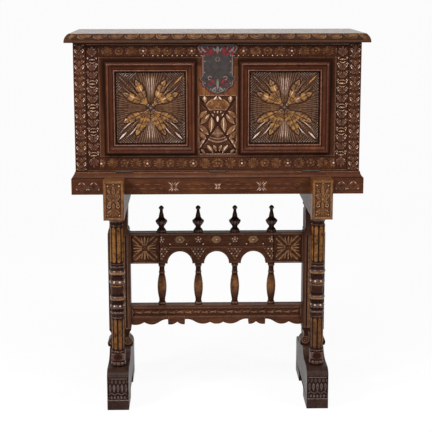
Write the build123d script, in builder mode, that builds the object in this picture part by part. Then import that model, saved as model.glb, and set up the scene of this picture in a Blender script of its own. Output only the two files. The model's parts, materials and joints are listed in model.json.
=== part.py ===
from build123d import *
import os

os.makedirs("parts", exist_ok=True)

# A drop-front writing cabinet on a trestle stand. Millimetres, +Z up, front towards -Y.
# The origin is on the floor, midway between the front of the slide heads and the back of the feet.

# --- Cabinet ---
cabinet_width = 1003.0
cabinet_depth = 395.0
case_height = 531.8
stand_height = 798.0
board = 20.0                 # case sides
back_board = 12.0
floor_board = 20.0
bottom_board = 14.0
thin_board = 12.0            # shelves and dividers of the gallery
pigeonhole_board = 10.0

# --- Top board ---
top_thickness = 30.9
top_overhang = 28.5
top_edge_height = 6.0        # plain edge under the ovolo
top_ovolo_inset = 15.2
top_ovolo_swell = 2.4

# --- Base moulding ---
plinth_height = 57.0
ogee_height = 21.5
plinth_proud = 14.8
ogee_flat = 3.0              # flat of the moulding in front of the closed fall
ogee_step = 2.5
ogee_hollow = 1.6

# --- Fall front ---
fall_thickness = 22.0
pilaster_width = 42.5
fall_side_gap = 1.0
fall_top_gap = 2.2
fall_bottom_gap = 1.6
fall_back_gap = 1.0
centre_face = 151.0          # between the two panel mouldings
stile_face = 64.5            # from a moulding to the side edge of the fall
moulding_bar = 36.3
moulding_proud = 19.0
moulding_lap = 18.0          # how far each moulding covers its frame
moulding_bottom = 61.5       # above the bottom edge of the fall
moulding_top = 62.0          # below the top edge of the fall
moulding_edge = 7.0          # plain outer edge
moulding_ovolo = 10.0
moulding_flat = 5.0
bead_width = 6.0
bead_inset = 1.3             # from the inner edge of the moulding
bead_foot = 7.5
bead_rise = 2.0
panel_thickness = 10.0
panel_setback = 6.0
panel_tongue = 5.0
groove_clearance = 0.2
field_height = 4.0           # raised field of a carved panel
field_gap = 0.5
field_slope = 20             # degrees

# --- Hinges of the fall ---
hinge_length = 60.0
hinge_end_margin = 15.5      # from the end of an outer hinge to the stile
leaf_thickness = 1.4
leaf_width = 17.0
knuckle_radius = 3.2
knuckle_offset = 1.5         # hinge axis in front of the face of the fall
knuckle_gap = 0.3
hinge_pin_radius = 1.4
pin_clearance = 0.05
fall_floor_step = 0.5        # inner face of the open fall above the floor of the case

# --- Lock ---
lock_plate_width = 106.0
lock_crest_width = 138.0
lock_crest_height = 50.0
lock_plate_height = 170.0
lock_ear_height = 50.0        # small pointed ears at the sides, above the foot of the plate
lock_ear_reach = 10.0
lock_plate_thickness = 2.2
lock_plate_drop = 4.0        # crest below the top edge of the fall
velvet_thickness = 1.2
velvet_margin = 3.0
lock_case_width = 84.0
lock_case_height = 58.0
lock_case_depth = 13.0
bolt_width = 16.0
bolt_depth = 7.0
bolt_length = 40.0
bolt_travel = 8.0
bolt_clearance = 0.3
bolt_sink = 0.5              # end of the drawn bolt below the edge of the fall
mortise_gap = 1.0
mortise_spare = 1.5
keyhole_radius = 3.0
keyhole_drop = 9.0
keyhole_below_top = 55.0

# --- Gallery of drawers ---
gallery_setback = 22.0
pigeonhole_height = 129.7
cupboard_width = 258.0
drawer_length = 325.0
drawer_front = 14.0
drawer_wall = 8.0
drawer_bottom = 6.0
drawer_side_gap = 0.5
drawer_floor_gap = 0.3
drawer_top_gap = 0.7
drawer_bevel = 4.0
knob_radius = 9.0
knob_length = 17.0
knob_stem_radius = 3.0
door_thickness = 14.0
door_gap = 0.75
door_pin_radius = 2.5
door_pin_length = 8.0
door_pin_end_gap = 0.3
door_stile = 46.0            # around the sunk panel
door_rail = 30.0
door_panel_sink = 3.0
door_knob_inset = 26.0
knob_stem_end_gap = 0.05

# --- Trestles ---
trestle_x = 364.2
foot_thickness = 79.0
foot_length = 446.0
foot_toe_height = 130.0
foot_seat_height = 150.0
foot_crown_height = 182.0
foot_toe_run = 33.0          # sloping top between the toe and the seat of a column
foot_crown_half = 46.0
foot_pad = 138.0
foot_pad_slope = 18.0
foot_arch_height = 46.0
toe_band_height = 36.0
toe_band_proud = 2.0
column_offset = 157.0        # column axes, before and behind the middle
column_radius = 24.8
flute_count = 8
flute_radius = 20.0          # of the gouge that cuts a flute
flute_depth = 2.3
post_width = 82.0
post_depth = 64.0
post_reed_radius = 3.0
post_reed_pitch = 17.0
post_reed_low = 70.0         # above the crown of the foot
post_reed_high = 6.0         # below the top of the stretcher
rail_width = 72.0
rail_height = 76.0

# --- Slides that carry the open fall ---
loper_bar_width = 38.0
loper_bar_height = 54.0
loper_gap = 0.5
loper_travel = 280.0
loper_tenon = 25.0
loper_tail_gap = 8.0
loper_head_width = 71.6
loper_head_depth = 75.0
loper_head_drop = 2.7        # head below the underside of its rail
loper_support_gap = 0.5
head_border = 9.0
head_recess = 4.0
stop_peg_radius = 4.0
stop_peg_length = 10.0
stop_peg_inset = 14.0
channel_end_wall = 12.0

# --- Stretchers ---
stretcher_thickness = 42.0
upper_stretcher_top = 618.6
upper_stretcher_height = 118.2
arch_radius = 46.4
arch_rise = 46.4
baluster_pitch = 137.2
lower_stretcher_top = 339.4
lower_stretcher_height = 75.4
seam_width = 3.0
seam_depth = 2.0
seam_x = 212.5

# --- Derived places ---
half_depth = cabinet_depth / 2
head_reach = half_depth + plinth_proud + loper_gap + loper_head_depth
mid_y = (head_reach - foot_length / 2) / 2
crown_z = stand_height + case_height + top_thickness
front_y = mid_y - half_depth
back_y = mid_y + half_depth
half_width = cabinet_width / 2
top_z = stand_height + case_height
plinth_z = stand_height + plinth_height
moulding_z = plinth_z + ogee_height
fall_bottom_z = moulding_z + fall_bottom_gap
fall_top_z = top_z - fall_top_gap
fall_height = fall_top_z - fall_bottom_z
fall_half = half_width - pilaster_width - fall_side_gap
fall_inner_y = front_y + fall_thickness
moulding_width = fall_half - stile_face - centre_face / 2
moulding_height = fall_height - moulding_bottom - moulding_top
panel_centre = (centre_face + moulding_width) / 2
axis_y = front_y - knuckle_offset
axis_z = moulding_z + fall_bottom_gap / 2
inner_half = half_width - board
gallery_half = half_width - pilaster_width
pigeonhole_spacing = gallery_half / 2
back_inner_y = back_y - back_board
case_front_y = fall_inner_y + fall_back_gap
floor_z = axis_z + knuckle_offset + fall_thickness - fall_floor_step
gallery_y = fall_inner_y + gallery_setback
shelf_z = floor_z + pigeonhole_height
gallery_floor_z = shelf_z + thin_board
panel_z = fall_bottom_z + moulding_bottom + moulding_height / 2
opening_width = moulding_width - 2 * moulding_lap
opening_half = opening_width / 2
stile_inner_x = panel_centre + opening_half
outer_hinge_x = stile_inner_x - hinge_end_margin - hinge_length / 2
opening_height = moulding_height - 2 * moulding_lap
rail_bottom_z = stand_height - rail_height
plinth_y = front_y - plinth_proud
head_top_z = axis_z + knuckle_offset - moulding_proud - loper_support_gap
head_back_y = plinth_y - loper_gap
bar_top_z = stand_height - loper_gap
bar_bottom_z = bar_top_z - loper_bar_height
bar_tail_y = back_y - channel_end_wall - loper_tail_gap
peg_y = bar_tail_y - stop_peg_inset
post_inner_x = trestle_x - post_width / 2
bolt_y = fall_inner_y - lock_case_depth / 2
door_axis_x = -cupboard_width / 2 + door_thickness / 2 + door_gap
door_axis_y = gallery_y + door_thickness / 2
door_hole_radius = door_pin_radius + pin_clearance
door_hole_depth = door_pin_length + door_pin_end_gap - door_gap
hinge_places = (-outer_hinge_x, 0, outer_hinge_x)
sides = {"left": -1, "right": 1}


def save(part, name):
    part.label = name
    export_step(part, f"parts/{name}.step")


def block(x0, x1, y0, y1, z0, z1, mode=Mode.ADD):
    """A block inside the current part, given by its faces."""
    with Locations(((x0 + x1) / 2, (y0 + y1) / 2, (z0 + z1) / 2)):
        Box(abs(x1 - x0), y1 - y0, z1 - z0, mode=mode)


def facing_front(y):
    """The upright plane at depth y, seen from the front."""
    return Plane.XZ.offset(-y)


def upright_lathe(x, y, z):
    return Plane(origin=(x, y, z), x_dir=(1, 0, 0), z_dir=(0, -1, 0))


def turning(lathe, stations):
    """A turned piece along the lathe plane's own y: each station is a rise, a radius and the
    outward swell of the curve that leads to it from the station below."""
    height = 0.0
    low = (stations[0][1], 0)
    with BuildSketch(lathe) as profile:
        with BuildLine():
            Line((0, 0), low)
            for rise, radius, swell in stations:
                height = height + rise
                high = (radius, height)
                middle = ((low[0] + high[0]) / 2 + swell, (low[1] + high[1]) / 2)
                if swell:
                    ThreePointArc(low, middle, high)
                elif high != low:
                    Line(low, high)
                low = high
            Line(low, (0, height))
            Line((0, height), (0, 0))
        make_face()
    revolve(profile.sketch, axis=Axis(lathe.origin, lathe.y_dir))


def knob(x, y, z):
    """A small turned pull on a front at depth y, with a stem let into the front."""
    with BuildPart() as piece:
        stem = knob_stem_radius
        turning(Plane(origin=(x, y + drawer_front / 2, z), x_dir=(1, 0, 0), z_dir=(0, 0, -1)),
                [(drawer_front / 2, stem, 0), (0, knob_radius * 0.7, 0), (3, knob_radius * 0.45, 0),
                 (4, knob_radius * 0.5, -0.6), (knob_length - 10, knob_radius, 0.8),
                 (3, knob_radius * 0.35, 1.4)])
    return piece.part


def knob_hole(x, y, z):
    with Locations(Location((x, y + drawer_front / 4, z), (90, 0, 0))):
        Cylinder(radius=knob_stem_radius + pin_clearance, height=drawer_front / 2 + 2 * knob_stem_end_gap,
                 mode=Mode.SUBTRACT)


# ---- Top board ----
def ovolo_profile(edge, inward):
    """The part cut off above the plain edge, which leaves a swelling ovolo."""
    low = (edge, top_z + top_edge_height)
    high = (edge + inward * top_ovolo_inset, crown_z)
    middle = ((low[0] + high[0]) / 2 - inward * top_ovolo_swell, (low[1] + high[1]) / 2 + top_ovolo_swell)
    with BuildSketch() as profile:
        with BuildLine():
            ThreePointArc(low, middle, high)
            Polyline(high, (edge, crown_z), low)
        make_face()
    return profile.sketch


with BuildPart() as top_board:
    top_half = half_width + top_overhang
    top_front_y = front_y - top_overhang
    block(-top_half, top_half, top_front_y, back_y, top_z, crown_z)
    with BuildSketch(Plane.YZ):
        add(ovolo_profile(top_front_y, 1))
    extrude(amount=top_half, both=True, mode=Mode.SUBTRACT)
    with BuildSketch(facing_front(back_y)):
        for sign in sides.values():
            add(ovolo_profile(sign * top_half, -sign))
    extrude(amount=back_y - top_front_y, mode=Mode.SUBTRACT)
    mortise_half_width = bolt_width / 2 + mortise_gap
    mortise_half_depth = bolt_depth / 2 + mortise_gap
    block(-mortise_half_width, mortise_half_width, bolt_y - mortise_half_depth, bolt_y + mortise_half_depth,
          top_z, top_z + bolt_travel - fall_top_gap + mortise_spare, mode=Mode.SUBTRACT)
    with Locations((door_axis_x, door_axis_y, top_z + door_hole_depth / 2)):
        Cylinder(radius=door_hole_radius, height=door_hole_depth, mode=Mode.SUBTRACT)
save(top_board.part, "top_board")

# ---- Case ----
for side, sign in sides.items():
    with BuildPart() as case_side:
        block(sign * inner_half, sign * half_width, fall_inner_y, back_y, stand_height, top_z)
    save(case_side.part, f"case_side_{side}")

    with BuildPart() as pilaster:
        block(sign * (half_width - pilaster_width), sign * half_width, front_y, fall_inner_y,
              moulding_z, top_z)
    save(pilaster.part, f"pilaster_{side}")

with BuildPart() as case_back:
    block(-inner_half, inner_half, back_inner_y, back_y, stand_height, top_z)
save(case_back.part, "case_back")

with BuildPart() as case_bottom:
    block(-inner_half, inner_half, fall_inner_y, back_inner_y, stand_height, stand_height + bottom_board)
save(case_bottom.part, "case_bottom")

with BuildPart() as case_floor:
    block(-inner_half, inner_half, case_front_y, back_inner_y, floor_z - floor_board, floor_z)
save(case_floor.part, "case_floor")

# ---- Base moulding, mitred at the front corners ----
plinth_half = half_width + plinth_proud
ogee_run = plinth_proud - ogee_flat


def ogee_profile(edge, inward):
    """The part cut off above the plinth: a step, then a hollow that rises to the flat."""
    low = (edge, plinth_z)
    step = (edge + inward * ogee_step, plinth_z + ogee_step)
    high = (edge + inward * ogee_run, moulding_z)
    hollow = ((step[0] + high[0]) / 2 + inward * ogee_hollow, (step[1] + high[1]) / 2 - ogee_hollow)
    with BuildSketch() as profile:
        with BuildLine():
            Polyline(low, (step[0], plinth_z), step)
            ThreePointArc(step, hollow, high)
            Polyline(high, (edge, moulding_z), low)
        make_face()
    return profile.sketch


def hinge_row(radius, length, mode):
    with Locations([Location((x, axis_y, axis_z), (0, 90, 0)) for x in hinge_places]):
        Cylinder(radius=radius, height=length, mode=mode)


with BuildPart() as base_moulding_front:
    with BuildSketch(Plane.XY.offset(stand_height)):
        with BuildLine():
            Polyline((-plinth_half, plinth_y), (plinth_half, plinth_y), (half_width, front_y),
                     (half_width, fall_inner_y), (-half_width, fall_inner_y), (-half_width, front_y),
                     (-plinth_half, plinth_y))
        make_face()
    extrude(amount=plinth_height + ogee_height)
    with BuildSketch(Plane.YZ):
        add(ogee_profile(plinth_y, 1))
    extrude(amount=plinth_half, both=True, mode=Mode.SUBTRACT)
    for x in hinge_places:
        block(x - hinge_length / 2, x + hinge_length / 2, axis_y, front_y + leaf_width,
              moulding_z - leaf_thickness, moulding_z, mode=Mode.SUBTRACT)
    hinge_row(knuckle_radius + knuckle_gap, hinge_length + 2 * knuckle_gap, Mode.SUBTRACT)
save(base_moulding_front.part, "base_moulding_front")

for side, sign in sides.items():
    with BuildPart() as base_moulding_side:
        with BuildSketch(Plane.XY.offset(stand_height)):
            with BuildLine():
                Polyline((sign * plinth_half, plinth_y), (sign * plinth_half, back_y),
                         (sign * half_width, back_y), (sign * half_width, front_y),
                         (sign * plinth_half, plinth_y))
            make_face()
        extrude(amount=plinth_height + ogee_height)
        with BuildSketch(facing_front(back_y)):
            add(ogee_profile(sign * plinth_half, -sign))
        extrude(amount=cabinet_depth + plinth_proud, mode=Mode.SUBTRACT)
    save(base_moulding_side.part, f"base_moulding_{side}")

# ---- Gallery ----
divider_x = cupboard_width / 2
with BuildPart() as gallery_linings:
    for sign in sides.values():
        block(sign * gallery_half, sign * inner_half, gallery_y, back_inner_y, floor_z, top_z)
save(gallery_linings.part, "gallery_linings")

with BuildPart() as gallery_shelf:
    block(-gallery_half, gallery_half, gallery_y, back_inner_y, shelf_z, gallery_floor_z)
    with Locations((door_axis_x, door_axis_y, gallery_floor_z - door_hole_depth / 2)):
        Cylinder(radius=door_hole_radius, height=door_hole_depth, mode=Mode.SUBTRACT)
save(gallery_shelf.part, "gallery_shelf")

with BuildPart() as pigeonhole_dividers:
    for x in (-pigeonhole_spacing, 0, pigeonhole_spacing):
        block(x - pigeonhole_board / 2, x + pigeonhole_board / 2, gallery_y, back_inner_y, floor_z, shelf_z)
save(pigeonhole_dividers.part, "pigeonhole_dividers")

bay_inner_x = divider_x + thin_board
bay_width = gallery_half - bay_inner_x
row_height = (top_z - gallery_floor_z - thin_board) / 2
row_floors = {"lower": gallery_floor_z, "upper": gallery_floor_z + row_height + thin_board}

with BuildPart() as drawer_shelves:
    for sign in sides.values():
        block(sign * bay_inner_x, sign * gallery_half, gallery_y, back_inner_y,
              gallery_floor_z + row_height, gallery_floor_z + row_height + thin_board)
save(drawer_shelves.part, "drawer_shelves")

with BuildPart() as gallery_dividers:
    for sign in sides.values():
        block(sign * divider_x, sign * bay_inner_x, gallery_y, back_inner_y, gallery_floor_z, top_z)
save(gallery_dividers.part, "gallery_dividers")

for side, sign in sides.items():
    bay_centre = sign * (bay_inner_x + bay_width / 2)
    drawer_half = bay_width / 2 - drawer_side_gap
    for row, row_floor in row_floors.items():
        low_z = row_floor + drawer_floor_gap
        high_z = row_floor + row_height - drawer_top_gap
        middle_z = (low_z + high_z) / 2
        with BuildPart() as drawer:
            block(bay_centre - drawer_half, bay_centre + drawer_half, gallery_y, gallery_y + drawer_length,
                  low_z, high_z)
            front_edges = drawer.faces().sort_by(Axis.Y)[0].edges()
            chamfer(front_edges, drawer_bevel)
            block(bay_centre - drawer_half + drawer_wall, bay_centre + drawer_half - drawer_wall,
                  gallery_y + drawer_front, gallery_y + drawer_length - drawer_wall,
                  low_z + drawer_bottom, high_z, mode=Mode.SUBTRACT)
            knob_hole(bay_centre, gallery_y, middle_z)
        save(drawer.part, f"drawer_{row}_{side}")
        save(knob(bay_centre, gallery_y, middle_z), f"drawer_knob_{row}_{side}")

with BuildPart() as cupboard_door:
    door_low_z = gallery_floor_z + door_gap
    door_high_z = top_z - door_gap
    door_left_x = -divider_x + door_gap
    door_right_x = divider_x - door_gap
    block(door_left_x, door_right_x, gallery_y, gallery_y + door_thickness, door_low_z, door_high_z)
    hinge_edges = cupboard_door.edges().filter_by(Axis.Z).group_by(Axis.X)[0]
    fillet(hinge_edges, radius=door_thickness / 2 - 0.05)
    door_middle_z = (door_low_z + door_high_z) / 2
    door_knob_x = door_right_x - door_knob_inset
    knob_hole(door_knob_x, gallery_y, door_middle_z)
    with BuildSketch(facing_front(gallery_y)):
        with Locations((0, door_middle_z)):
            Rectangle(door_right_x - door_left_x - 2 * door_stile, door_high_z - door_low_z - 2 * door_rail)
    extrude(amount=-door_panel_sink, mode=Mode.SUBTRACT)
    with Locations((door_axis_x, door_axis_y, door_high_z + (door_pin_length - door_gap) / 2),
                   (door_axis_x, door_axis_y, door_low_z - (door_pin_length - door_gap) / 2)):
        Cylinder(radius=door_pin_radius, height=door_pin_length - door_gap)
save(cupboard_door.part, "cupboard_door")
save(knob(door_knob_x, gallery_y, door_middle_z), "cupboard_knob")

# ---- Fall front: a frame with two carved panels ----
opening_low_z = panel_z - opening_height / 2
opening_high_z = panel_z + opening_height / 2
panel_front_y = front_y + panel_setback
panel_back_y = panel_front_y + panel_thickness
centre_half = panel_centre - opening_half


def cut_panel_grooves():
    reach = panel_tongue + 1
    for sign in sides.values():
        middle = sign * panel_centre
        block(middle - opening_half - reach, middle + opening_half + reach,
              panel_front_y - groove_clearance, panel_back_y + groove_clearance,
              opening_low_z - reach, opening_high_z + reach, mode=Mode.SUBTRACT)


def moulding_profile(edge_x):
    """Section of a panel moulding from its outer edge inwards: ovolo, flat, hollow and bead."""
    def at(run, proud):
        return (edge_x + run, front_y - proud)

    lap = moulding_lap + groove_clearance
    flat_end = moulding_ovolo + moulding_flat
    bead_end = moulding_bar - bead_inset
    bead_start = bead_end - bead_width
    hollow = ((flat_end + bead_start) / 2 - 1, (moulding_proud + bead_foot) / 2 - 3)
    with BuildSketch() as profile:
        with BuildLine():
            Line(at(0, 0), at(0, moulding_edge))
            ThreePointArc(at(0, moulding_edge), at(moulding_ovolo * 0.3, moulding_proud * 0.84),
                          at(moulding_ovolo, moulding_proud))
            Line(at(moulding_ovolo, moulding_proud), at(flat_end, moulding_proud))
            ThreePointArc(at(flat_end, moulding_proud), at(*hollow), at(bead_start, bead_foot))
            ThreePointArc(at(bead_start, bead_foot), at((bead_start + bead_end) / 2, bead_foot + bead_rise),
                          at(bead_end, bead_foot))
            Polyline(at(bead_end, bead_foot), at(moulding_bar, bead_foot / 2),
                     at(moulding_bar, -panel_setback), at(lap, -panel_setback), at(lap, 0), at(0, 0))
        make_face()
    return profile.sketch


for side, sign in sides.items():
    with BuildPart() as fall_stile:
        block(sign * stile_inner_x, sign * fall_half, front_y, fall_inner_y, fall_bottom_z, fall_top_z)
        cut_panel_grooves()
    save(fall_stile.part, f"fall_stile_{side}")

    panel_x = sign * panel_centre
    board_half = opening_half + panel_tongue
    with BuildPart() as carved_panel:
        block(panel_x - board_half, panel_x + board_half, panel_front_y, panel_back_y,
              opening_low_z - panel_tongue, opening_high_z + panel_tongue)
        with BuildSketch(facing_front(panel_front_y)):
            with Locations((panel_x, panel_z)):
                Rectangle(moulding_width - 2 * (moulding_bar + field_gap),
                          moulding_height - 2 * (moulding_bar + field_gap))
        extrude(amount=field_height, taper=field_slope)
    save(carved_panel.part, f"carved_panel_{side}")

    with BuildPart() as panel_moulding:
        edge_x = panel_x - moulding_width / 2
        far_x = panel_x + moulding_width / 2
        low_z = panel_z - moulding_height / 2
        high_z = panel_z + moulding_height / 2
        with BuildSketch(Plane.XY.offset(panel_z)):
            add(moulding_profile(edge_x))
        with BuildLine(facing_front(front_y)) as moulding_path:
            Polyline((edge_x, panel_z), (edge_x, high_z), (far_x, high_z), (far_x, low_z), (edge_x, low_z),
                     (edge_x, panel_z))
        sweep(path=moulding_path.wires()[0], transition=Transition.RIGHT)
    save(panel_moulding.part, f"panel_moulding_{side}")

lock_low_z = fall_top_z - lock_case_height
keyhole_z = fall_top_z - keyhole_below_top


def cut_keyhole():
    with BuildSketch(facing_front(fall_inner_y)) as keyhole:
        with Locations((0, keyhole_z)):
            Circle(keyhole_radius)
        with Locations((0, keyhole_z - keyhole_drop / 2)):
            Rectangle(keyhole_radius, keyhole_drop)
    extrude(keyhole.sketch, amount=fall_thickness + velvet_thickness + lock_plate_thickness + 1,
            mode=Mode.SUBTRACT)


with BuildPart() as fall_top_rail:
    block(-stile_inner_x, stile_inner_x, front_y, fall_inner_y, opening_high_z, fall_top_z)
    block(-lock_case_width / 2, lock_case_width / 2, fall_inner_y - lock_case_depth, fall_inner_y,
          lock_low_z, fall_top_z, mode=Mode.SUBTRACT)
    cut_panel_grooves()
    cut_keyhole()
save(fall_top_rail.part, "fall_top_rail")

with BuildPart() as fall_bottom_rail:
    block(-stile_inner_x, stile_inner_x, front_y, fall_inner_y, fall_bottom_z, opening_low_z)
    cut_panel_grooves()
    for x in hinge_places:
        block(x - hinge_length / 2, x + hinge_length / 2, axis_y, front_y + leaf_width,
              fall_bottom_z, fall_bottom_z + leaf_thickness, mode=Mode.SUBTRACT)
    hinge_row(knuckle_radius + knuckle_gap, hinge_length + 2 * knuckle_gap, Mode.SUBTRACT)
save(fall_bottom_rail.part, "fall_bottom_rail")

with BuildPart() as fall_centre_stile:
    block(-centre_half, centre_half, front_y, fall_inner_y, opening_low_z, opening_high_z)
    cut_panel_grooves()
save(fall_centre_stile.part, "fall_centre_stile")

# ---- Hinges of the fall ----
knuckle_length = (hinge_length - 4 * knuckle_gap) / 5
knuckle_pitch = knuckle_length + knuckle_gap


def knuckles(steps, radius, length, mode):
    places = [(x + step * knuckle_pitch, axis_y, axis_z) for x in hinge_places for step in steps]
    with Locations([Location(place, (0, 90, 0)) for place in places]):
        Cylinder(radius=radius, height=length, mode=mode)


def hinge_leaves(low_z, own_steps, other_steps):
    """One leaf of each hinge, with its own knuckles and room for those of the other leaf."""
    with BuildPart() as leaves:
        for x in hinge_places:
            block(x - hinge_length / 2, x + hinge_length / 2, axis_y, front_y + leaf_width,
                  low_z, low_z + leaf_thickness)
        knuckles(own_steps, knuckle_radius, knuckle_length, Mode.ADD)
        knuckles(other_steps, knuckle_radius + knuckle_gap, knuckle_length + 2 * knuckle_gap, Mode.SUBTRACT)
        hinge_row(hinge_pin_radius + pin_clearance, hinge_length + 1, Mode.SUBTRACT)
    return leaves.part


save(hinge_leaves(moulding_z - leaf_thickness, (-2, 0, 2), (-1, 1)), "hinge_case_leaves")
save(hinge_leaves(fall_bottom_z, (-1, 1), (-2, 0, 2)), "hinge_fall_leaves")

with BuildPart() as hinge_pins:
    hinge_row(hinge_pin_radius, hinge_length, Mode.ADD)
save(hinge_pins.part, "hinge_pins")

# ---- Lock ----
with BuildPart() as lock_case:
    block(-lock_case_width / 2, lock_case_width / 2, fall_inner_y - lock_case_depth, fall_inner_y,
          lock_low_z, fall_top_z)
    bolt_top_z = fall_top_z - bolt_sink
    bolt_low_z = bolt_top_z - bolt_length
    block(-bolt_width / 2 - bolt_clearance, bolt_width / 2 + bolt_clearance,
          bolt_y - bolt_depth / 2 - bolt_clearance, bolt_y + bolt_depth / 2 + bolt_clearance,
          bolt_low_z - bolt_clearance, fall_top_z, mode=Mode.SUBTRACT)
save(lock_case.part, "lock_case")

with BuildPart() as lock_bolt:
    block(-bolt_width / 2, bolt_width / 2, bolt_y - bolt_depth / 2, bolt_y + bolt_depth / 2,
          bolt_low_z, bolt_top_z)
save(lock_bolt.part, "lock_bolt")


def shield(margin, back, thickness):
    """The outline of the lock plate, grown by a margin, cut from sheet of a thickness."""
    crest = lock_crest_width / 2 + margin
    body = lock_plate_width / 2 + margin
    top = fall_top_z - lock_plate_drop + margin
    neck = top - lock_crest_height
    foot = top - lock_plate_height - 2 * margin
    shoulder = foot + 30
    ear_z = foot + lock_ear_height
    ear_half = lock_ear_reach + margin
    with BuildPart() as sheet:
        with BuildSketch(facing_front(back)):
            with BuildLine():
                Line((0, top), (crest - 14, top))
                ThreePointArc((crest - 14, top), (crest, top - 12), (crest - 8, top - 26))
                ThreePointArc((crest - 8, top - 26), (body + 1, top - 36), (body, neck))
                Polyline((body, neck), (body, ear_z + ear_half), (body + lock_ear_reach, ear_z),
                         (body, ear_z - ear_half), (body, shoulder))
                ThreePointArc((body, shoulder), (body - 5, shoulder - 16), (body - 18, shoulder - 20))
                ThreePointArc((body - 18, shoulder - 20), (body - 21, foot + 6), (body - 33, foot + 5))
                ThreePointArc((body - 33, foot + 5), (body - 40, foot + 1), (0, foot))
                mirror(about=Plane.YZ)
            make_face()
        extrude(amount=thickness)
        cut_keyhole()
    return sheet.part


save(shield(velvet_margin, front_y, velvet_thickness), "lock_velvet")
save(shield(0, front_y - velvet_thickness, lock_plate_thickness), "lock_plate")

# ---- Trestles ----
seat_half = column_offset - column_radius - 8
arch_half = foot_length / 2 - foot_pad


def foot_outline():
    half = foot_length / 2
    band = toe_band_height
    inset = half - toe_band_proud
    with BuildSketch() as outline:
        with BuildLine():
            Line((0, foot_arch_height), (arch_half - foot_pad_slope, foot_arch_height))
            ThreePointArc((arch_half - foot_pad_slope, foot_arch_height),
                          (arch_half - 4, foot_arch_height - 12), (arch_half, 0))
            Polyline((arch_half, 0), (half, 0), (half, band), (inset, band + toe_band_proud),
                     (inset, foot_toe_height))
            ThreePointArc((inset, foot_toe_height), (inset - foot_toe_run / 2 + 3, foot_toe_height + 13),
                          (inset - foot_toe_run, foot_seat_height))
            Line((inset - foot_toe_run, foot_seat_height), (seat_half, foot_seat_height))
            ThreePointArc((seat_half, foot_seat_height), (foot_crown_half + 30, foot_seat_height + 8),
                          (foot_crown_half, foot_crown_height))
            Line((foot_crown_half, foot_crown_height), (0, foot_crown_height))
            mirror(about=Plane.YZ)
        make_face()
    return outline.sketch


column_height = rail_bottom_z - foot_seat_height
column_foot = [(0, 22, 0), (23, 22, 5.2)]
column_block_height = 30
column_low = [(0, 24, 0), (8, 23.5, 2.2)]
low_flutes = 125
column_middle = [(low_flutes, column_radius, 0), (7, 22, -0.8), (7, 23, 0), (9, 23, 2.6), (7, 22, 0),
                 (22, 22, 5.4), (10, 22, 0), (4, 25.5, 0), (14, 25.5, 2.4), (3, 20.5, 0), (36, 25, -1.2),
                 (5, 24.5, 0), (16, 24.5, 3.6), (5, 21, 0), (12, 20.5, -0.8), (4, 25, 0), (17, 25, 3.6),
                 (6, 22, -0.6), (11, 23, 2.6), (6, column_radius, 0)]
column_cap = [(6, 22, -1), (8, 25, 0), (10, 25, 2.6), (0, 26, 0)]


def total(stations):
    return sum(rise for rise, radius, swell in stations)


low_flutes_z = foot_seat_height + total(column_foot) + column_block_height + total(column_low)
middle_top_z = low_flutes_z + total(column_middle)
cap_height = total(column_cap) + 20
high_flutes = rail_bottom_z - cap_height - middle_top_z


def column(x, y):
    with BuildPart() as piece:
        turning(upright_lathe(x, y, foot_seat_height),
                column_foot + [(0, 20, 0), (column_block_height, 20, 0)] + column_low + column_middle
                + [(high_flutes, column_radius, 0)] + column_cap + [(20, 26, 0)])
        block_z = foot_seat_height + total(column_foot)
        block(x - column_radius, x + column_radius, y - column_radius, y + column_radius,
              block_z, block_z + column_block_height)
        for low_z, length in ((low_flutes_z, low_flutes), (middle_top_z, high_flutes)):
            with Locations((x, y, low_z + length / 2)):
                with PolarLocations(column_radius + flute_radius - flute_depth, flute_count, 180 / flute_count):
                    Cylinder(radius=flute_radius, height=length - 10, mode=Mode.SUBTRACT)
    return piece.part


def post_outline(x):
    """Front view of a middle post, between its foot and its rail: a scrolled base, a neck,
    the shaft and a narrower head above the stretcher."""
    half = post_width / 2
    base = foot_crown_height
    neck_z = base + 44
    shaft_z = base + 64
    head_z = upper_stretcher_top
    with BuildSketch() as outline:
        with BuildLine():
            Line((x, base), (x + half + 3, base))
            ThreePointArc((x + half + 3, base), (x + half + 7, base + 13), (x + half + 1, base + 27))
            ThreePointArc((x + half + 1, base + 27), (x + half - 6, base + 34), (x + half - 8, neck_z))
            ThreePointArc((x + half - 8, neck_z), (x + half - 6, neck_z + 12), (x + half, shaft_z))
            Line((x + half, shaft_z), (x + half, head_z))
            Line((x + half, head_z), (x + half - 3, head_z))
            ThreePointArc((x + half - 3, head_z), (x + half - 3, head_z + 14), (x + half - 8, head_z + 20))
            Polyline((x + half - 8, head_z + 20), (x + half - 6, rail_bottom_z), (x, rail_bottom_z))
            mirror(about=Plane.YZ.offset(x))
        make_face()
    return outline.sketch


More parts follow.
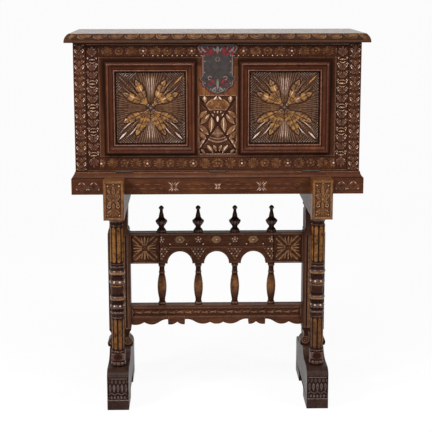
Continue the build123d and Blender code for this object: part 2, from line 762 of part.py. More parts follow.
for side, sign in sides.items():
    centre = sign * trestle_x
    with BuildPart() as foot:
        with BuildSketch(Plane(origin=(centre, mid_y, 0), x_dir=(0, 1, 0), z_dir=(1, 0, 0))):
            add(foot_outline())
        extrude(amount=foot_thickness / 2, both=True)
    save(foot.part, f"foot_{side}")

    save(column(centre, mid_y - column_offset), f"column_front_{side}")
    save(column(centre, mid_y + column_offset), f"column_back_{side}")

    with BuildPart() as post:
        with BuildSketch(facing_front(mid_y)):
            add(post_outline(centre))
        extrude(amount=post_depth / 2, both=True)
        reed_low_z = foot_crown_height + post_reed_low
        reed_length = upper_stretcher_top - post_reed_high - reed_low_z
        with Locations((centre, mid_y, reed_low_z + reed_length / 2)):
            with GridLocations(post_reed_pitch, post_depth, 4, 2):
                Cylinder(radius=post_reed_radius, height=reed_length, mode=Mode.SUBTRACT)
    save(post.part, f"post_{side}")

    channel_half = loper_bar_width / 2 + loper_gap
    channel_floor_z = bar_bottom_z - loper_gap
    slot_half = stop_peg_radius + loper_gap
    slot_back_y = peg_y + slot_half
    slot_front_y = peg_y - loper_travel - slot_half
    peg_bottom_z = bar_bottom_z - stop_peg_length
    with BuildPart() as top_rail:
        block(centre - rail_width / 2, centre + rail_width / 2, plinth_y, back_y, rail_bottom_z, stand_height)
        block(centre - channel_half, centre + channel_half, plinth_y, back_y - channel_end_wall,
              channel_floor_z, stand_height, mode=Mode.SUBTRACT)
        block(centre - slot_half, centre + slot_half, slot_front_y, slot_back_y,
              peg_bottom_z - loper_gap, channel_floor_z, mode=Mode.SUBTRACT)
    save(top_rail.part, f"top_rail_{side}")

    tenon_front_y = head_back_y - loper_tenon
    with BuildPart() as loper_bar:
        block(centre - loper_bar_width / 2, centre + loper_bar_width / 2, tenon_front_y, bar_tail_y,
              bar_bottom_z, bar_top_z)
        with Locations((centre, peg_y, bar_bottom_z - stop_peg_length / 2)):
            Cylinder(radius=stop_peg_radius, height=stop_peg_length)
    save(loper_bar.part, f"loper_bar_{side}")

    head_low_z = rail_bottom_z - loper_head_drop
    head_front_y = head_back_y - loper_head_depth
    with BuildPart() as loper_head:
        block(centre - loper_head_width / 2, centre + loper_head_width / 2, head_front_y, head_back_y,
              head_low_z, head_top_z)
        with BuildSketch(facing_front(head_front_y)):
            with Locations((centre, (head_low_z + head_top_z) / 2)):
                Rectangle(loper_head_width - 2 * head_border, head_top_z - head_low_z - 2 * head_border)
        extrude(amount=-head_recess, mode=Mode.SUBTRACT)
        block(centre - loper_bar_width / 2, centre + loper_bar_width / 2, tenon_front_y, head_back_y,
              bar_bottom_z, bar_top_z, mode=Mode.SUBTRACT)
    save(loper_head.part, f"loper_head_{side}")

# ---- Stretchers ----
stretcher_front_y = mid_y - stretcher_thickness / 2
arcade_bottom_z = upper_stretcher_top - upper_stretcher_height
baluster_places = [(step - 1.5) * baluster_pitch for step in range(4)]

with BuildPart() as upper_stretcher:
    with BuildSketch(facing_front(mid_y)):
        with Locations((0, (upper_stretcher_top + arcade_bottom_z) / 2)):
            Rectangle(2 * post_inner_x, upper_stretcher_height)
        with Locations([(step * baluster_pitch, arcade_bottom_z) for step in (-1, 0, 1)]):
            Ellipse(arch_radius, arch_rise, mode=Mode.SUBTRACT)
    extrude(amount=stretcher_thickness / 2, both=True)
    for x in (-seam_x, seam_x):
        block(x - seam_width / 2, x + seam_width / 2, stretcher_front_y, stretcher_front_y + seam_depth,
              arcade_bottom_z, upper_stretcher_top, mode=Mode.SUBTRACT)
save(upper_stretcher.part, "upper_stretcher")

with BuildPart() as lower_stretcher:
    with BuildSketch(facing_front(mid_y)):
        with BuildLine():
            low = lower_stretcher_top - lower_stretcher_height
            scallop = post_inner_x / 100
            Line((0, lower_stretcher_top), (post_inner_x, lower_stretcher_top))
            Line((post_inner_x, lower_stretcher_top), (post_inner_x, low + 1))
            ThreePointArc((post_inner_x, low + 1), (91 * scallop, low), (84.5 * scallop, low + 9))
            ThreePointArc((84.5 * scallop, low + 9), (77 * scallop, low), (68 * scallop, low + 8))
            ThreePointArc((68 * scallop, low + 8), (62 * scallop, low + 18), (57 * scallop, low + 20))
            Line((57 * scallop, low + 20), (57 * scallop, low + 1))
            ThreePointArc((57 * scallop, low + 1), (51 * scallop, low + 1), (46 * scallop, low + 10))
            ThreePointArc((46 * scallop, low + 10), (41 * scallop, low + 1), (37 * scallop, low + 1))
            Line((37 * scallop, low + 1), (37 * scallop, low + 20))
            ThreePointArc((37 * scallop, low + 20), (31 * scallop, low + 19), (25 * scallop, low + 10))
            ThreePointArc((25 * scallop, low + 10), (17 * scallop, low + 2), (7.5 * scallop, low + 9))
            ThreePointArc((7.5 * scallop, low + 9), (4 * scallop, low + 3), (0, low + 2))
            mirror(about=Plane.YZ)
        make_face()
    extrude(amount=stretcher_thickness / 2, both=True)
save(lower_stretcher.part, "lower_stretcher")

baluster_height = arcade_bottom_z - lower_stretcher_top
baluster_low = [(0, 13.2, 0), (9, 13.2, 1.2), (4, 11, 0), (10, 11.6, 0)]
baluster_high = [(10, 10.2, 1.6), (12, 9.6, 0), (9, 13, -1), (11, 13, 0)]
belly_rise = (baluster_height - total(baluster_low) - total(baluster_high)) / 2
baluster_belly = [(belly_rise, 17.1, 1.4), (belly_rise, 10.2, 1.4)]
with BuildPart() as balusters:
    for x in baluster_places:
        turning(upright_lathe(x, mid_y, lower_stretcher_top), baluster_low + baluster_belly + baluster_high)
save(balusters.part, "balusters")

finial_profile = [(0, 17.5, 0), (3, 18.8, 0.6), (9, 14, 1), (6, 9.6, -0.6), (8, 13.5, -1), (13, 22, 1),
                  (6, 21, 1.2), (11, 10, -1.4), (20, 5.9, 0.6), (6, 5.6, 0), (2, 5.0, 0), (16, 1.6, 6.2)]
with BuildPart() as finials:
    for x in baluster_places:
        turning(upright_lathe(x, mid_y, upper_stretcher_top), finial_profile)
save(finials.part, "finials")
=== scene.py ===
import json
from math import atan2, degrees, hypot, pi, radians

import bpy
import numpy as np
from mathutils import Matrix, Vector


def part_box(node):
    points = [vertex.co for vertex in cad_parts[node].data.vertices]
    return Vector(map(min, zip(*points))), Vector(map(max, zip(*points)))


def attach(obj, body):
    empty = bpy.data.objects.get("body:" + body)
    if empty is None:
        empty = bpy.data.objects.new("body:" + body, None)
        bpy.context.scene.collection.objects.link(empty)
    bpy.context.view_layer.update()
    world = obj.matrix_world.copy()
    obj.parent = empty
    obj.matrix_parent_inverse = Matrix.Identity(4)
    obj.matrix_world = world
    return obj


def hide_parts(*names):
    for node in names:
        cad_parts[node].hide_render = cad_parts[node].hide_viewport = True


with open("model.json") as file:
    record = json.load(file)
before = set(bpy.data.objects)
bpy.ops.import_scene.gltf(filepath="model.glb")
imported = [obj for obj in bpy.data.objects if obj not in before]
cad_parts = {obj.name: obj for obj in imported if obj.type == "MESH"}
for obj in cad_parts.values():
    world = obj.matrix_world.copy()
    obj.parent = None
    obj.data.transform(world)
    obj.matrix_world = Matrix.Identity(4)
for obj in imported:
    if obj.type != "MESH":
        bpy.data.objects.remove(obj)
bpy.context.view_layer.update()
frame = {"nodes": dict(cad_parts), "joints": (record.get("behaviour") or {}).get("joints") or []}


# A shader node; inputs are values or the sockets to link.
def addNode(tree, kind, inputs=None, **settings):
    made = tree.nodes.new("ShaderNode" + kind)
    for key, value in settings.items():
        setattr(made, key, value)
    for key, value in (inputs or {}).items():
        if isinstance(value, bpy.types.NodeSocket):
            tree.links.new(value, made.inputs[key])
        else:
            made.inputs[key].default_value = value
    return made


# A shader node group; inputs and outputs are (name, kind, default) and (name, kind).
def newGroup(name, inputs, outputs):
    tree = bpy.data.node_groups.new(name, "ShaderNodeTree")
    for label, kind, value in inputs:
        made = tree.interface.new_socket(label, in_out="INPUT", socket_type="NodeSocket" + kind)
        if value is not None:
            made.default_value = value
    for label, kind in outputs:
        tree.interface.new_socket(label, in_out="OUTPUT", socket_type="NodeSocket" + kind)
    return tree, tree.nodes.new("NodeGroupInput").outputs, tree.nodes.new("NodeGroupOutput").inputs


def mixColour(tree, factor, first, second, blend="MIX"):
    return addNode(tree, "Mix", {0: factor, 6: first, 7: second}, data_type="RGBA",
                   blend_type=blend).outputs[2]


def times(tree, first, second):
    return addNode(tree, "Math", {0: first, 1: second}, operation="MULTIPLY").outputs[0]


def timesPlus(tree, value, factor, offset):
    return addNode(tree, "Math", {0: value, 1: factor, 2: offset}, operation="MULTIPLY_ADD").outputs[0]


# 0 below low, 1 above high, smooth between.
def ramp(tree, factor, low, high):
    made = addNode(tree, "MapRange", {"Value": factor, "From Min": low, "From Max": high},
                   interpolation_type="SMOOTHSTEP")
    return made.outputs["Result"]


def noise(tree, vector, scale, detail, roughness=0.5, distortion=0.0):
    made = addNode(tree, "TexNoise", {"Vector": vector, "Scale": scale, "Detail": detail,
                                      "Roughness": roughness, "Distortion": distortion})
    return made.outputs["Fac"]


def objectCoords(tree):
    return addNode(tree, "TexCoord").outputs["Object"]


# The sockets for height, rubbed edge and gilding that a carved mesh holds; height and edge also carry painted
# shade and painted highlight.
def carvedValues(tree):
    attribute = addNode(tree, "Attribute", attribute_name="carve")
    return addNode(tree, "SeparateColor", {0: attribute.outputs["Color"]}).outputs


# Lowest and highest corner of a CAD node, in millimetres.
def boxOf(node):
    low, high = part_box(node)
    return np.array(low) * 1000, np.array(high) * 1000


# Fields, or single values, put side by side as one row for each point.
def rowsOf(*fields):
    return np.stack(np.broadcast_arrays(*fields), -1).reshape(-1, len(fields))


def numbered(count, tall, start=0):
    return start + np.arange(count * tall).reshape(count, tall)


# Quads between neighbours in a grid of point numbers, which may close on itself either way.
def gridQuads(grid, closedU=False, closedV=False):
    if closedU:
        grid = np.concatenate([grid, grid[:1]])
    if closedV:
        grid = np.concatenate([grid, grid[:, :1]], 1)
    return np.stack([grid[:-1, :-1], grid[1:, :-1], grid[1:, 1:], grid[:-1, 1:]], -1)


# points in mm; quads an array of four corners each; caps lists of corners; carve red, green and blue for each
# point: height, which paints shade where it is low, rubbed edge, which also carries painted highlight and
# shade, and gilding, each 0 to 1. The first smoothFaces faces, or all quads, are smooth.
def putMesh(name, points, quads, caps, carve=None, smoothFaces=None):
    mesh = bpy.data.meshes.new(name)
    quads = np.asarray(quads, np.int32).reshape(-1, 4)
    sizes = np.concatenate([np.full(len(quads), 4), [len(cap) for cap in caps]]).astype(np.int32)
    corners = np.concatenate([quads.ravel()] + [np.asarray(cap, np.int32) for cap in caps])
    mesh.vertices.add(len(points))
    mesh.vertices.foreach_set("co", (np.asarray(points) / 1000).astype(np.float32).ravel())
    mesh.loops.add(len(corners))
    mesh.loops.foreach_set("vertex_index", corners.astype(np.int32))
    mesh.polygons.add(len(sizes))
    mesh.polygons.foreach_set("loop_start", np.concatenate([[0], np.cumsum(sizes)[:-1]]).astype(np.int32))
    mesh.polygons.foreach_set("use_smooth", np.arange(len(sizes)) < (smoothFaces or len(quads)))
    if carve is not None:
        layer = mesh.attributes.new("carve", "FLOAT_COLOR", "POINT")
        values = np.ones((len(points), 4), np.float32)
        values[:, :3] = carve
        layer.data.foreach_set("color", values.ravel())
    mesh.update(calc_edges=True)
    mesh.validate()
    made = bpy.data.objects.new(name, mesh)
    bpy.context.scene.collection.objects.link(made)
    return made


def finishPiece(piece, material, node, body="case_and_stand"):
    piece.data.materials.append(material)
    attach(piece, body)
    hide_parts(node)


# Each pass replaces a value by the mean of itself and its four neighbours.
def blurred(field, passes):
    for _ in range(passes):
        wide = np.pad(field, 1, mode="edge")
        field = (wide[1:-1, 1:-1] + wide[:-2, 1:-1] + wide[2:, 1:-1] + wide[1:-1, :-2] + wide[1:-1, 2:]) / 5
    return field


# Half plus how far a point stands above its near and wider surroundings: high on arrises, low in grooves.
def edgeMask(height, passes=9, sharpness=1.4):
    near = blurred(height, passes)
    wide = blurred(near, 2 * passes)
    return np.clip(0.5 + (0.3 * (height - near) + 0.25 * (height - wide)) / sharpness, 0, 1)


# Grid lines from low to high about a cell apart, with closer ones at both ends for a soft arris.
def spaced(low, high, cell, arris=1.2):
    inner = np.linspace(low + arris, high - arris, max(3, int(round((high - low) / cell))))
    ends = np.array([0.0, 0.12, 0.45]) * arris
    return np.concatenate([low + ends, inner, high - ends[::-1]])


# How far a rounded arris lies below the face, at a distance from the edge.
def arrisDrop(distance, radius=1.2):
    share = np.clip(1 - distance / radius, 0, 1)
    return radius * (1 - np.sqrt(1 - share ** 2 * 0.98)) * 0.8


# 0 below low, 1 above high, smooth between; low may be the greater.
def smooth(low, high, value):
    share = np.clip((value - low) / (high - low), 0, 1)
    return share * share * (3 - 2 * share)


def within(value, low, high):
    return (value > low) & (value < high)


# 1 at 0, falling off to both sides.
def bell(offset, width):
    return np.exp(-(offset / width) ** 2)


def wave(value, pitch):
    return np.cos(2 * pi * value / pitch)


# Round arches with a sharp groove at 0 and at every pitch.
def arches(value, pitch):
    return np.abs(np.sin(pi * value / pitch))


# A board with a carved face. A face point is (u, v) with u from columns and v from rows, which run from 0 to
# 1 between lowEdge(u) and highEdge(u) where those are given. relief(u, v) gives its height in mm, at most 0,
# its gilding and, if it likes, painted highlight and shade added to the rubbed edge; place turns (u, v, out)
# into x, y, z. depth is the height that counts as deepest. The back is plain or has its own relief, on
# backRows if given.
def carvedBoard(name, columns, rows, place, thickness, relief, backRelief=None, backRows=None, lowEdge=None,
                highEdge=None, depth=3.0, crests=1.4):
    u, v = np.meshgrid(columns, rows, indexing="ij")
    if lowEdge is not None:
        low, high = lowEdge(columns)[:, None], highEdge(columns)[:, None]
        v = low + rows[None, :] * (high - low)
    backU, backV = u, v
    if backRows is None:
        backU, backV = u[:, [0, -1]], v[:, [0, -1]]
    elif lowEdge is None:
        backU, backV = np.meshgrid(columns, backRows, indexing="ij")
    (count, tall), behind = u.shape, backU.shape[1]
    wholeBack = behind > 9                          # a grid fine enough for its own rubbed edges
    height, gilt, *shine = relief(u, v)
    rim = np.minimum(np.minimum(u - columns[0], columns[-1] - u), np.minimum(v - v[:, :1], v[:, -1:] - v))
    bend = 0.5 + (edgeMask(height, sharpness=crests) - 0.5) * smooth(0.5, 5.0, rim) + sum(shine)
    backHeight, backGilt, *backShine = backRelief(backU, backV) if backRelief else (0 * backU, 0)
    backBend = (edgeMask(backHeight) if wholeBack else 0.5) + sum(backShine)
    points = np.concatenate([rowsOf(*place(u, v, height)),
                             rowsOf(*place(backU, backV, -thickness - backHeight))])
    carve = np.concatenate([rowsOf(np.clip(1 + rise / depth, 0, 1), np.clip(edge, 0, 1), gold)
                            for rise, edge, gold in ((height, bend, gilt), (backHeight, backBend, backGilt))])
    f, b = numbered(count, tall), numbered(count, behind, count * tall)
    quads = [gridQuads(f), gridQuads(b)[..., [0, 3, 2, 1]],
             np.stack([f[:-1, 0], b[:-1, 0], b[1:, 0], f[1:, 0]], -1),
             np.stack([f[:-1, -1], f[1:, -1], b[1:, -1], b[:-1, -1]], -1)]
    caps = [list(f[0]) + list(b[0, ::-1]), list(f[-1, ::-1]) + list(b[-1])]
    smoothFaces = (count - 1) * ((tall - 1) + (behind - 1 if wholeBack else 0))
    return putMesh(name, points, np.concatenate([part.reshape(-1, 4) for part in quads]), caps, carve,
                   smoothFaces)


# A carved board over the whole front of its node's box, with relief(u, v, spec, low, high).
def boxBoard(node, spec, relief, material, body="case_and_stand", columns=None, **options):
    low, high = boxOf(node)
    if columns is None:
        columns = spaced(low[0], high[0], spec["cell"])
    piece = carvedBoard(f"{node}_carved", columns, spaced(low[2], high[2], spec["cell"]), facingFront(low[1]),
                        high[1] - low[1], lambda u, v: relief(u, v, spec, low, high), **options)
    finishPiece(piece, material, node, body)


# A board carved alike on front and back, between two shaped edges.
def shapedBoard(node, columns, shares, place, relief, lowEdge, highEdge, material):
    low, high = boxOf(node)
    piece = carvedBoard(f"{node}_carved", columns, shares, place(low[1]), high[1] - low[1], relief, relief,
                        shares, lowEdge, highEdge)
    finishPiece(piece, material, node)


# u is x, v is z, out is towards the front.
def facingFront(faceY):
    return lambda u, v, out: (u, faceY - out, v)


# u is z and v runs from right to left, so that edges may be given along the height.
def uprightFacingFront(faceY):
    return lambda u, v, out: (-v, faceY - out, u)


# Coordinates along and across a line through a centre at an angle in degrees.
def turned(u, v, centreU, centreV, angle):
    c, s = np.cos(radians(angle)), np.sin(radians(angle))
    return (u - centreU) * c + (v - centreV) * s, (v - centreV) * c - (u - centreU) * s


# A leaf from its root along an angle: half width = width x sin(pi x share^widest), its back round,
# a vein down the middle, and side cuts whose depth follows a cosine along it.
def leaf(u, v, centreU, centreV, angle, length, width, widest=1.0, vein=0.5, notches=0, notchDepth=0.45):
    along, across = turned(u, v, centreU, centreV, angle)
    share = np.clip(along / length, 0, 1)
    half = np.maximum(width * np.sin(pi * share ** widest) ** 0.8, 1e-3)
    body = np.clip(1 - (across / half) ** 2, 0, 1) ** 0.6 * within(along, 0, length)
    body = body * (1 - vein * bell(across, 0.16 * width))
    if notches:
        side = np.abs(across)
        cuts = np.clip(np.cos(2 * pi * notches * share - 1.5 * side / width), 0, 1) ** 2
        body = body * (1 - notchDepth * cuts * np.clip(0.25 + side / half, 0, 1))
    return body


def highest(*fields):
    top = fields[0]
    for field in fields[1:]:
        top = np.maximum(top, field)
    return top


# The highest of leaves from one root at several angles.
def fan(u, v, centreU, centreV, angles, *shape):
    return highest(*[leaf(u, v, centreU, centreV, angle, *shape) for angle in angles])


# Leaves without a vein, each as (from u, from v, to u, to v, width).
def strokes(u, v, table):
    return highest(*[leaf(u, v, fromU, fromV, degrees(atan2(toV - fromV, toU - fromU)),
                          hypot(toU - fromU, toV - fromV), width, 0.9, 0.0)
                     for fromU, fromV, toU, toV, width in table])


# A bead: the top of a ball.
def dome(u, v, centreU, centreV, radius):
    return np.sqrt(np.clip(1 - ((u - centreU) ** 2 + (v - centreV) ** 2) / radius ** 2, 0, 1))


# A rounded ridge along a line.
def ridge(distance, width):
    return np.sqrt(np.clip(1 - (distance / width) ** 2, 0, 1))


# Rings, each as (centre u, centre v, radius, half width).
def rings(u, v, table):
    return highest(*[ridge(np.hypot(u - centreU, v - centreV) - radius, width)
                     for centreU, centreV, radius, width in table])


# A cut with sloping sides: 1 on its line, 0 beyond its half width.
def groove(distance, width):
    return np.clip(1 - np.abs(distance) / width, 0, 1)


# Petals round a bead: the rim follows the cosine of the angle times the number of petals.
def rosette(u, v, radius, petals, turn=0.0):
    distance = np.hypot(u, v)
    lobe = np.abs(np.cos(petals * (np.arctan2(v, u) - radians(turn)) / 2))
    rim = radius * (0.5 + 0.5 * lobe ** 0.6)
    petal = np.clip(1 - (distance / rim) ** 2, 0, 1) ** 0.6 * (0.3 + 0.7 * lobe ** 0.5)
    petal = petal * (1 - 0.55 * bell(distance - 0.36 * radius, 0.1 * radius))
    return np.maximum(petal, 1.1 * np.sqrt(np.clip(1 - (distance / (0.26 * radius)) ** 2, 0, 1)))


# Distance from the nearest of the places origin + k x period.
def repeatOffset(value, period, origin=0.0):
    return (value - origin + period / 2) % period - period / 2


# Drop of the rounded arris around a rectangular face.
def edgesOf(u, v, low, high):
    return arrisDrop(np.minimum(np.minimum(u - low[0], high[0] - u), np.minimum(v - low[2], high[2] - v)))


print("stage: helpers ready")


def makeFigureGroup():
    tree, given, out = newGroup("woodFigure", [("Vector", "Vector", None)],
                                [("Figure", "Float"), ("Pores", "Float")])
    clouds = noise(tree, given["Vector"], 1.0, 6.0, 0.6, 0.9)
    streaks = addNode(tree, "VectorMath", {0: given["Vector"], 1: (1.7, 1.7, 1.7)}, operation="MULTIPLY")
    bands = noise(tree, streaks.outputs[0], 3.4, 3.0, 0.5, 0.3)
    both = timesPlus(tree, bands, 0.45, times(tree, clouds, 0.6))
    tree.links.new(ramp(tree, both, 0.34, 0.7), out["Figure"])
    tree.links.new(ramp(tree, noise(tree, given["Vector"], 11.0, 2.0, 0.6), 0.56, 0.7), out["Pores"])
    return tree


# Painted shade in the hollows, brown flats, the rubbed colour on rubbed arrises and on painted highlights, a
# painted whitish glint on the highest edges, and worn gilding that is shaded in the hollows too. Cover is how
# whole the gilding is; Polish is where hands have waxed it.
def makeWearAndLightGroup():
    tree, given, out = newGroup(
        "rubbedCarving",
        [("Height", "Float", 1.0), ("Edge", "Float", 0.5), ("Gilt", "Float", 0.0), ("Figure", "Float", 0.5),
         ("Cover", "Float", 0.0), ("Vector", "Vector", None)]
        + [(label, "Color", (0, 0, 0, 1)) for label in ("Recess", "Wood", "Rubbed", "Gilding")],
        [("Color", "Color"), ("Roughness", "Float"), ("Polish", "Float")])
    patches = noise(tree, given["Vector"], 13.0, 4.0, 0.6)
    blots = noise(tree, given["Vector"], 60.0, 4.0, 0.6)
    specks = noise(tree, given["Vector"], 210.0, 3.0, 0.65)
    height, edge = given["Height"], given["Edge"]
    shade = timesPlus(tree, blots, 0.5, timesPlus(tree, given["Figure"], 0.62, 0.42))
    grey = addNode(tree, "CombineColor", {0: shade, 1: shade, 2: shade}).outputs[0]
    brown = mixColour(tree, 1.0, given["Wood"], grey, "MULTIPLY")
    golden = mixColour(tree, 1.0, brown, (1.5, 1.75, 1.3, 1), "MULTIPLY")
    brown = mixColour(tree, times(tree, ramp(tree, patches, 0.48, 0.72), given["Figure"]), brown, golden)
    lit = times(tree, ramp(tree, height, 0.0, 0.6), ramp(tree, edge, 0.05, 0.5))
    ground = mixColour(tree, lit, given["Recess"], brown)
    wearAndSheen = times(tree, ramp(tree, edge, 0.5, 0.95), ramp(tree, specks, 0.3, 0.6))
    rubbed = mixColour(tree, times(tree, wearAndSheen, 0.5), ground, given["Rubbed"])
    thin = timesPlus(tree, edge, 0.3, timesPlus(tree, specks, 0.3, given["Cover"]))
    leafing = times(tree, given["Gilt"], ramp(tree, timesPlus(tree, blots, 0.7, thin), 0.6, 0.86))
    leafing = times(tree, leafing, ramp(tree, patches, 0.25, 0.5))
    gilded = mixColour(tree, leafing, rubbed, mixColour(tree, lit, given["Recess"], given["Gilding"]))
    # a painted whitish glint where the edge is highest
    bareAndGlint = times(tree, ramp(tree, edge, 0.93, 1.0), 0.75)
    tree.links.new(mixColour(tree, bareAndGlint, gilded, (0.62, 0.45, 0.37, 1)), out["Color"])
    tree.links.new(timesPlus(tree, blots, 0.3, timesPlus(tree, lit, -0.2, 0.46)), out["Roughness"])
    crests = times(tree, ramp(tree, edge, 0.42, 0.78), ramp(tree, height, 0.15, 0.6))
    tree.links.new(times(tree, crests, ramp(tree, blots, 0.2, 0.6)), out["Polish"])
    return tree


# Normals rounded over sharp edges, and a mask of the edges that hands and cloths have rubbed.
def makeArrisGroup():
    tree, given, out = newGroup("softArris", [("Radius", "Float", 0.0015), ("Vector", "Vector", None)],
                                [("Normal", "Vector"), ("Edge", "Float")])
    rounded = addNode(tree, "Bevel", {"Radius": given["Radius"]}, samples=4).outputs[0]
    sharp = addNode(tree, "NewGeometry").outputs["Normal"]
    likeness = addNode(tree, "VectorMath", {0: rounded, 1: sharp}, operation="DOT_PRODUCT").outputs["Value"]
    tree.links.new(rounded, out["Normal"])
    tree.links.new(timesPlus(tree, ramp(tree, likeness, 0.995, 0.86), 0.42, 0.5), out["Edge"])
    return tree


figureGroup, rubbedGroup, arrisGroup = makeFigureGroup(), makeWearAndLightGroup(), makeArrisGroup()
grainScales = {"x": (3.5, 55.0, 55.0), "y": (55.0, 3.5, 55.0), "z": (55.0, 55.0, 3.5)}
# the recess tone is painted shade in the hollows; the rubbed tone colours rubbed arrises and painted
# highlights
walnutTones = {
    "recess": (0.013, 0.0038, 0.0016), "wood": (0.055, 0.0165, 0.0062), "rubbed": (0.30, 0.155, 0.09),
    "gilding": (0.19, 0.088, 0.026)}


def startMaterial(name, **values):
    made = bpy.data.materials.new(name)
    made.use_nodes = True
    surface = made.node_tree.nodes["Principled BSDF"].inputs
    for label, value in values.items():
        surface[label.replace("_", " ")].default_value = value
    return made, made.node_tree, surface


# Waxed walnut. grain is the way its fibres run; carved boards carry their heights in an attribute.
def walnut(name, grain="x", carved=True, shift=(0.0, 0.0, 0.0), gloss=0.05, cover=0.0, **changes):
    made, tree, surface = startMaterial(name, Coat_Roughness=0.27, Coat_IOR=1.42, Specular_IOR_Level=gloss)
    coords = objectCoords(tree)
    stretched = addNode(tree, "Mapping", {"Vector": coords, "Location": shift, "Scale": grainScales[grain]})
    figure = addNode(tree, "Group", {"Vector": stretched.outputs[0]}, node_tree=figureGroup).outputs
    tones = {label.capitalize(): (*tone, 1) for label, tone in dict(walnutTones, **changes).items()}
    rub = addNode(tree, "Group", {"Vector": coords, "Figure": figure["Figure"], "Cover": cover, **tones},
                  node_tree=rubbedGroup)
    bump = addNode(tree, "Bump", {"Strength": 0.25, "Distance": 0.0006, "Height": figure["Pores"]},
                   invert=True)
    if carved:
        for value, label in zip(carvedValues(tree), ("Height", "Edge", "Gilt")):
            tree.links.new(value, rub.inputs[label])
    else:
        arris = addNode(tree, "Group", node_tree=arrisGroup).outputs
        tree.links.new(arris["Edge"], rub.inputs["Edge"])
        tree.links.new(arris["Normal"], bump.inputs["Normal"])
    for label, target in (("Color", "Base Color"), ("Roughness", "Roughness"), ("Polish", "Coat Weight")):
        tree.links.new(rub.outputs[label], surface[target])
    tree.links.new(bump.outputs[0], surface["Normal"])
    return made


# Old metal: two tones in clouds and specks, with shallow hammer marks; embossed parts may be lighter, partly
# rubbed bare and partly painted highlight.
def oldMetal(name, dark, light, rough, metallic, spots=70.0, dent=0.0004, bareAndGlint=None):
    made, tree, surface = startMaterial(name, Metallic=metallic)
    coords = objectCoords(tree)
    clouds = noise(tree, coords, spots, 5.0, 0.65)
    marks = addNode(tree, "TexVoronoi", {"Vector": coords, "Scale": spots * 2.2}).outputs["Distance"]
    colour = mixColour(tree, ramp(tree, clouds, 0.3, 0.7), (*dark, 1), (*light, 1))
    if bareAndGlint:
        colour = mixColour(tree, ramp(tree, carvedValues(tree)[1], 0.35, 0.95), colour, (*bareAndGlint, 1))
    tree.links.new(colour, surface["Base Color"])
    tree.links.new(timesPlus(tree, clouds, 0.3, rough - 0.15), surface["Roughness"])
    arris = addNode(tree, "Group", {"Radius": 0.0006}, node_tree=arrisGroup).outputs["Normal"]
    bump = addNode(tree, "Bump", {"Strength": 0.5, "Distance": dent, "Height": marks, "Normal": arris})
    tree.links.new(bump.outputs[0], surface["Normal"])
    return made


# Worn pile: darker where it is crushed, with a soft sheen.
def velvetCloth(name):
    made, tree, surface = startMaterial(name, Roughness=0.95, Sheen_Weight=0.25, Sheen_Roughness=0.4,
                                        Sheen_Tint=(0.9, 0.4, 0.4, 1))
    coords = objectCoords(tree)
    pile, crush = noise(tree, coords, 900.0, 2.0), noise(tree, coords, 60.0, 4.0)
    mixed = timesPlus(tree, pile, 0.4, times(tree, crush, 0.6))
    colour = mixColour(tree, ramp(tree, mixed, 0.3, 0.7), (0.05, 0.003, 0.004, 1), (0.19, 0.012, 0.016, 1))
    tree.links.new(colour, surface["Base Color"])
    bump = addNode(tree, "Bump", {"Strength": 0.6, "Distance": 0.0004, "Height": mixed})
    tree.links.new(bump.outputs[0], surface["Normal"])
    return made


boardX = walnut("walnutRailCarved", "x")
boardY = walnut("walnutSideCarved", "y", shift=(0.6, 0.0, 0.0))
boardZ = walnut("walnutUprightCarved", "z", shift=(0.3, 0.1, 0.0))
panelWood = walnut("walnutPanelCarved", "z", shift=(0.0, 0.2, 0.4), wood=(0.044, 0.017, 0.009), cover=0.12,
                   recess=(0.014, 0.005, 0.002), rubbed=(0.27, 0.165, 0.11), gilding=(0.29, 0.135, 0.034))
latticeWood = walnut("walnutLatticeCarved", "z", shift=(0.2, 0.7, 0.0), wood=(0.10, 0.036, 0.015),
                     recess=(0.030, 0.009, 0.004), rubbed=(0.42, 0.27, 0.18), gilding=(0.24, 0.125, 0.045))
mouldingWood = walnut("walnutMoulding", "z", shift=(0.7, 0.0, 0.0), wood=(0.058, 0.0155, 0.0065))
topWood = walnut("walnutTop", "x", shift=(0.0, 0.6, 0.0), wood=(0.042, 0.0155, 0.007), cover=0.06,
                 gilding=(0.15, 0.069, 0.022), rubbed=(0.18, 0.09, 0.045))
turnedWood = walnut("walnutTurned", "z", shift=(0.2, 0.2, 0.0), wood=(0.032, 0.010, 0.006), cover=0.12,
                    rubbed=(0.16, 0.075, 0.045), recess=(0.010, 0.0035, 0.002), gilding=(0.22, 0.094, 0.022))
footWood = walnut("walnutFeet", "y", wood=(0.028, 0.013, 0.0095), rubbed=(0.22, 0.16, 0.14))
finialWood = walnut("walnutFinials", "z", wood=(0.03, 0.012, 0.010), rubbed=(0.12, 0.06, 0.04))
headWood = walnut("walnutLoperHeads", "z", shift=(0.0, 0.9, 0.0), wood=(0.088, 0.032, 0.010),
                  recess=(0.036, 0.012, 0.004), gilding=(0.20, 0.082, 0.020), rubbed=(0.36, 0.22, 0.13))
stretcherWood = walnut("walnutStretchers", "x", shift=(0.5, 0.0, 0.3), wood=(0.06, 0.019, 0.0075),
                       gilding=(0.24, 0.12, 0.03))
spindleWood = walnut("walnutBalusters", "z", wood=(0.05, 0.016, 0.007), recess=(0.010, 0.004, 0.002),
                     gilding=(0.24, 0.095, 0.022), cover=0.1)
postWood = walnut("walnutPosts", "z", shift=(0.0, 0.4, 0.4), wood=(0.042, 0.015, 0.008),
                  rubbed=(0.25, 0.12, 0.055))
plainWood = {axis: walnut(f"walnutPlain{axis.upper()}", axis, carved=False, wood=(0.055, 0.0165, 0.0075))
         for axis in "xyz"}
galleryWood = {axis: walnut(f"galleryWood{axis.upper()}", axis, carved=False, gloss=0.15,
                            wood=(0.19, 0.085, 0.038), rubbed=(0.33, 0.18, 0.09)) for axis in "xz"}
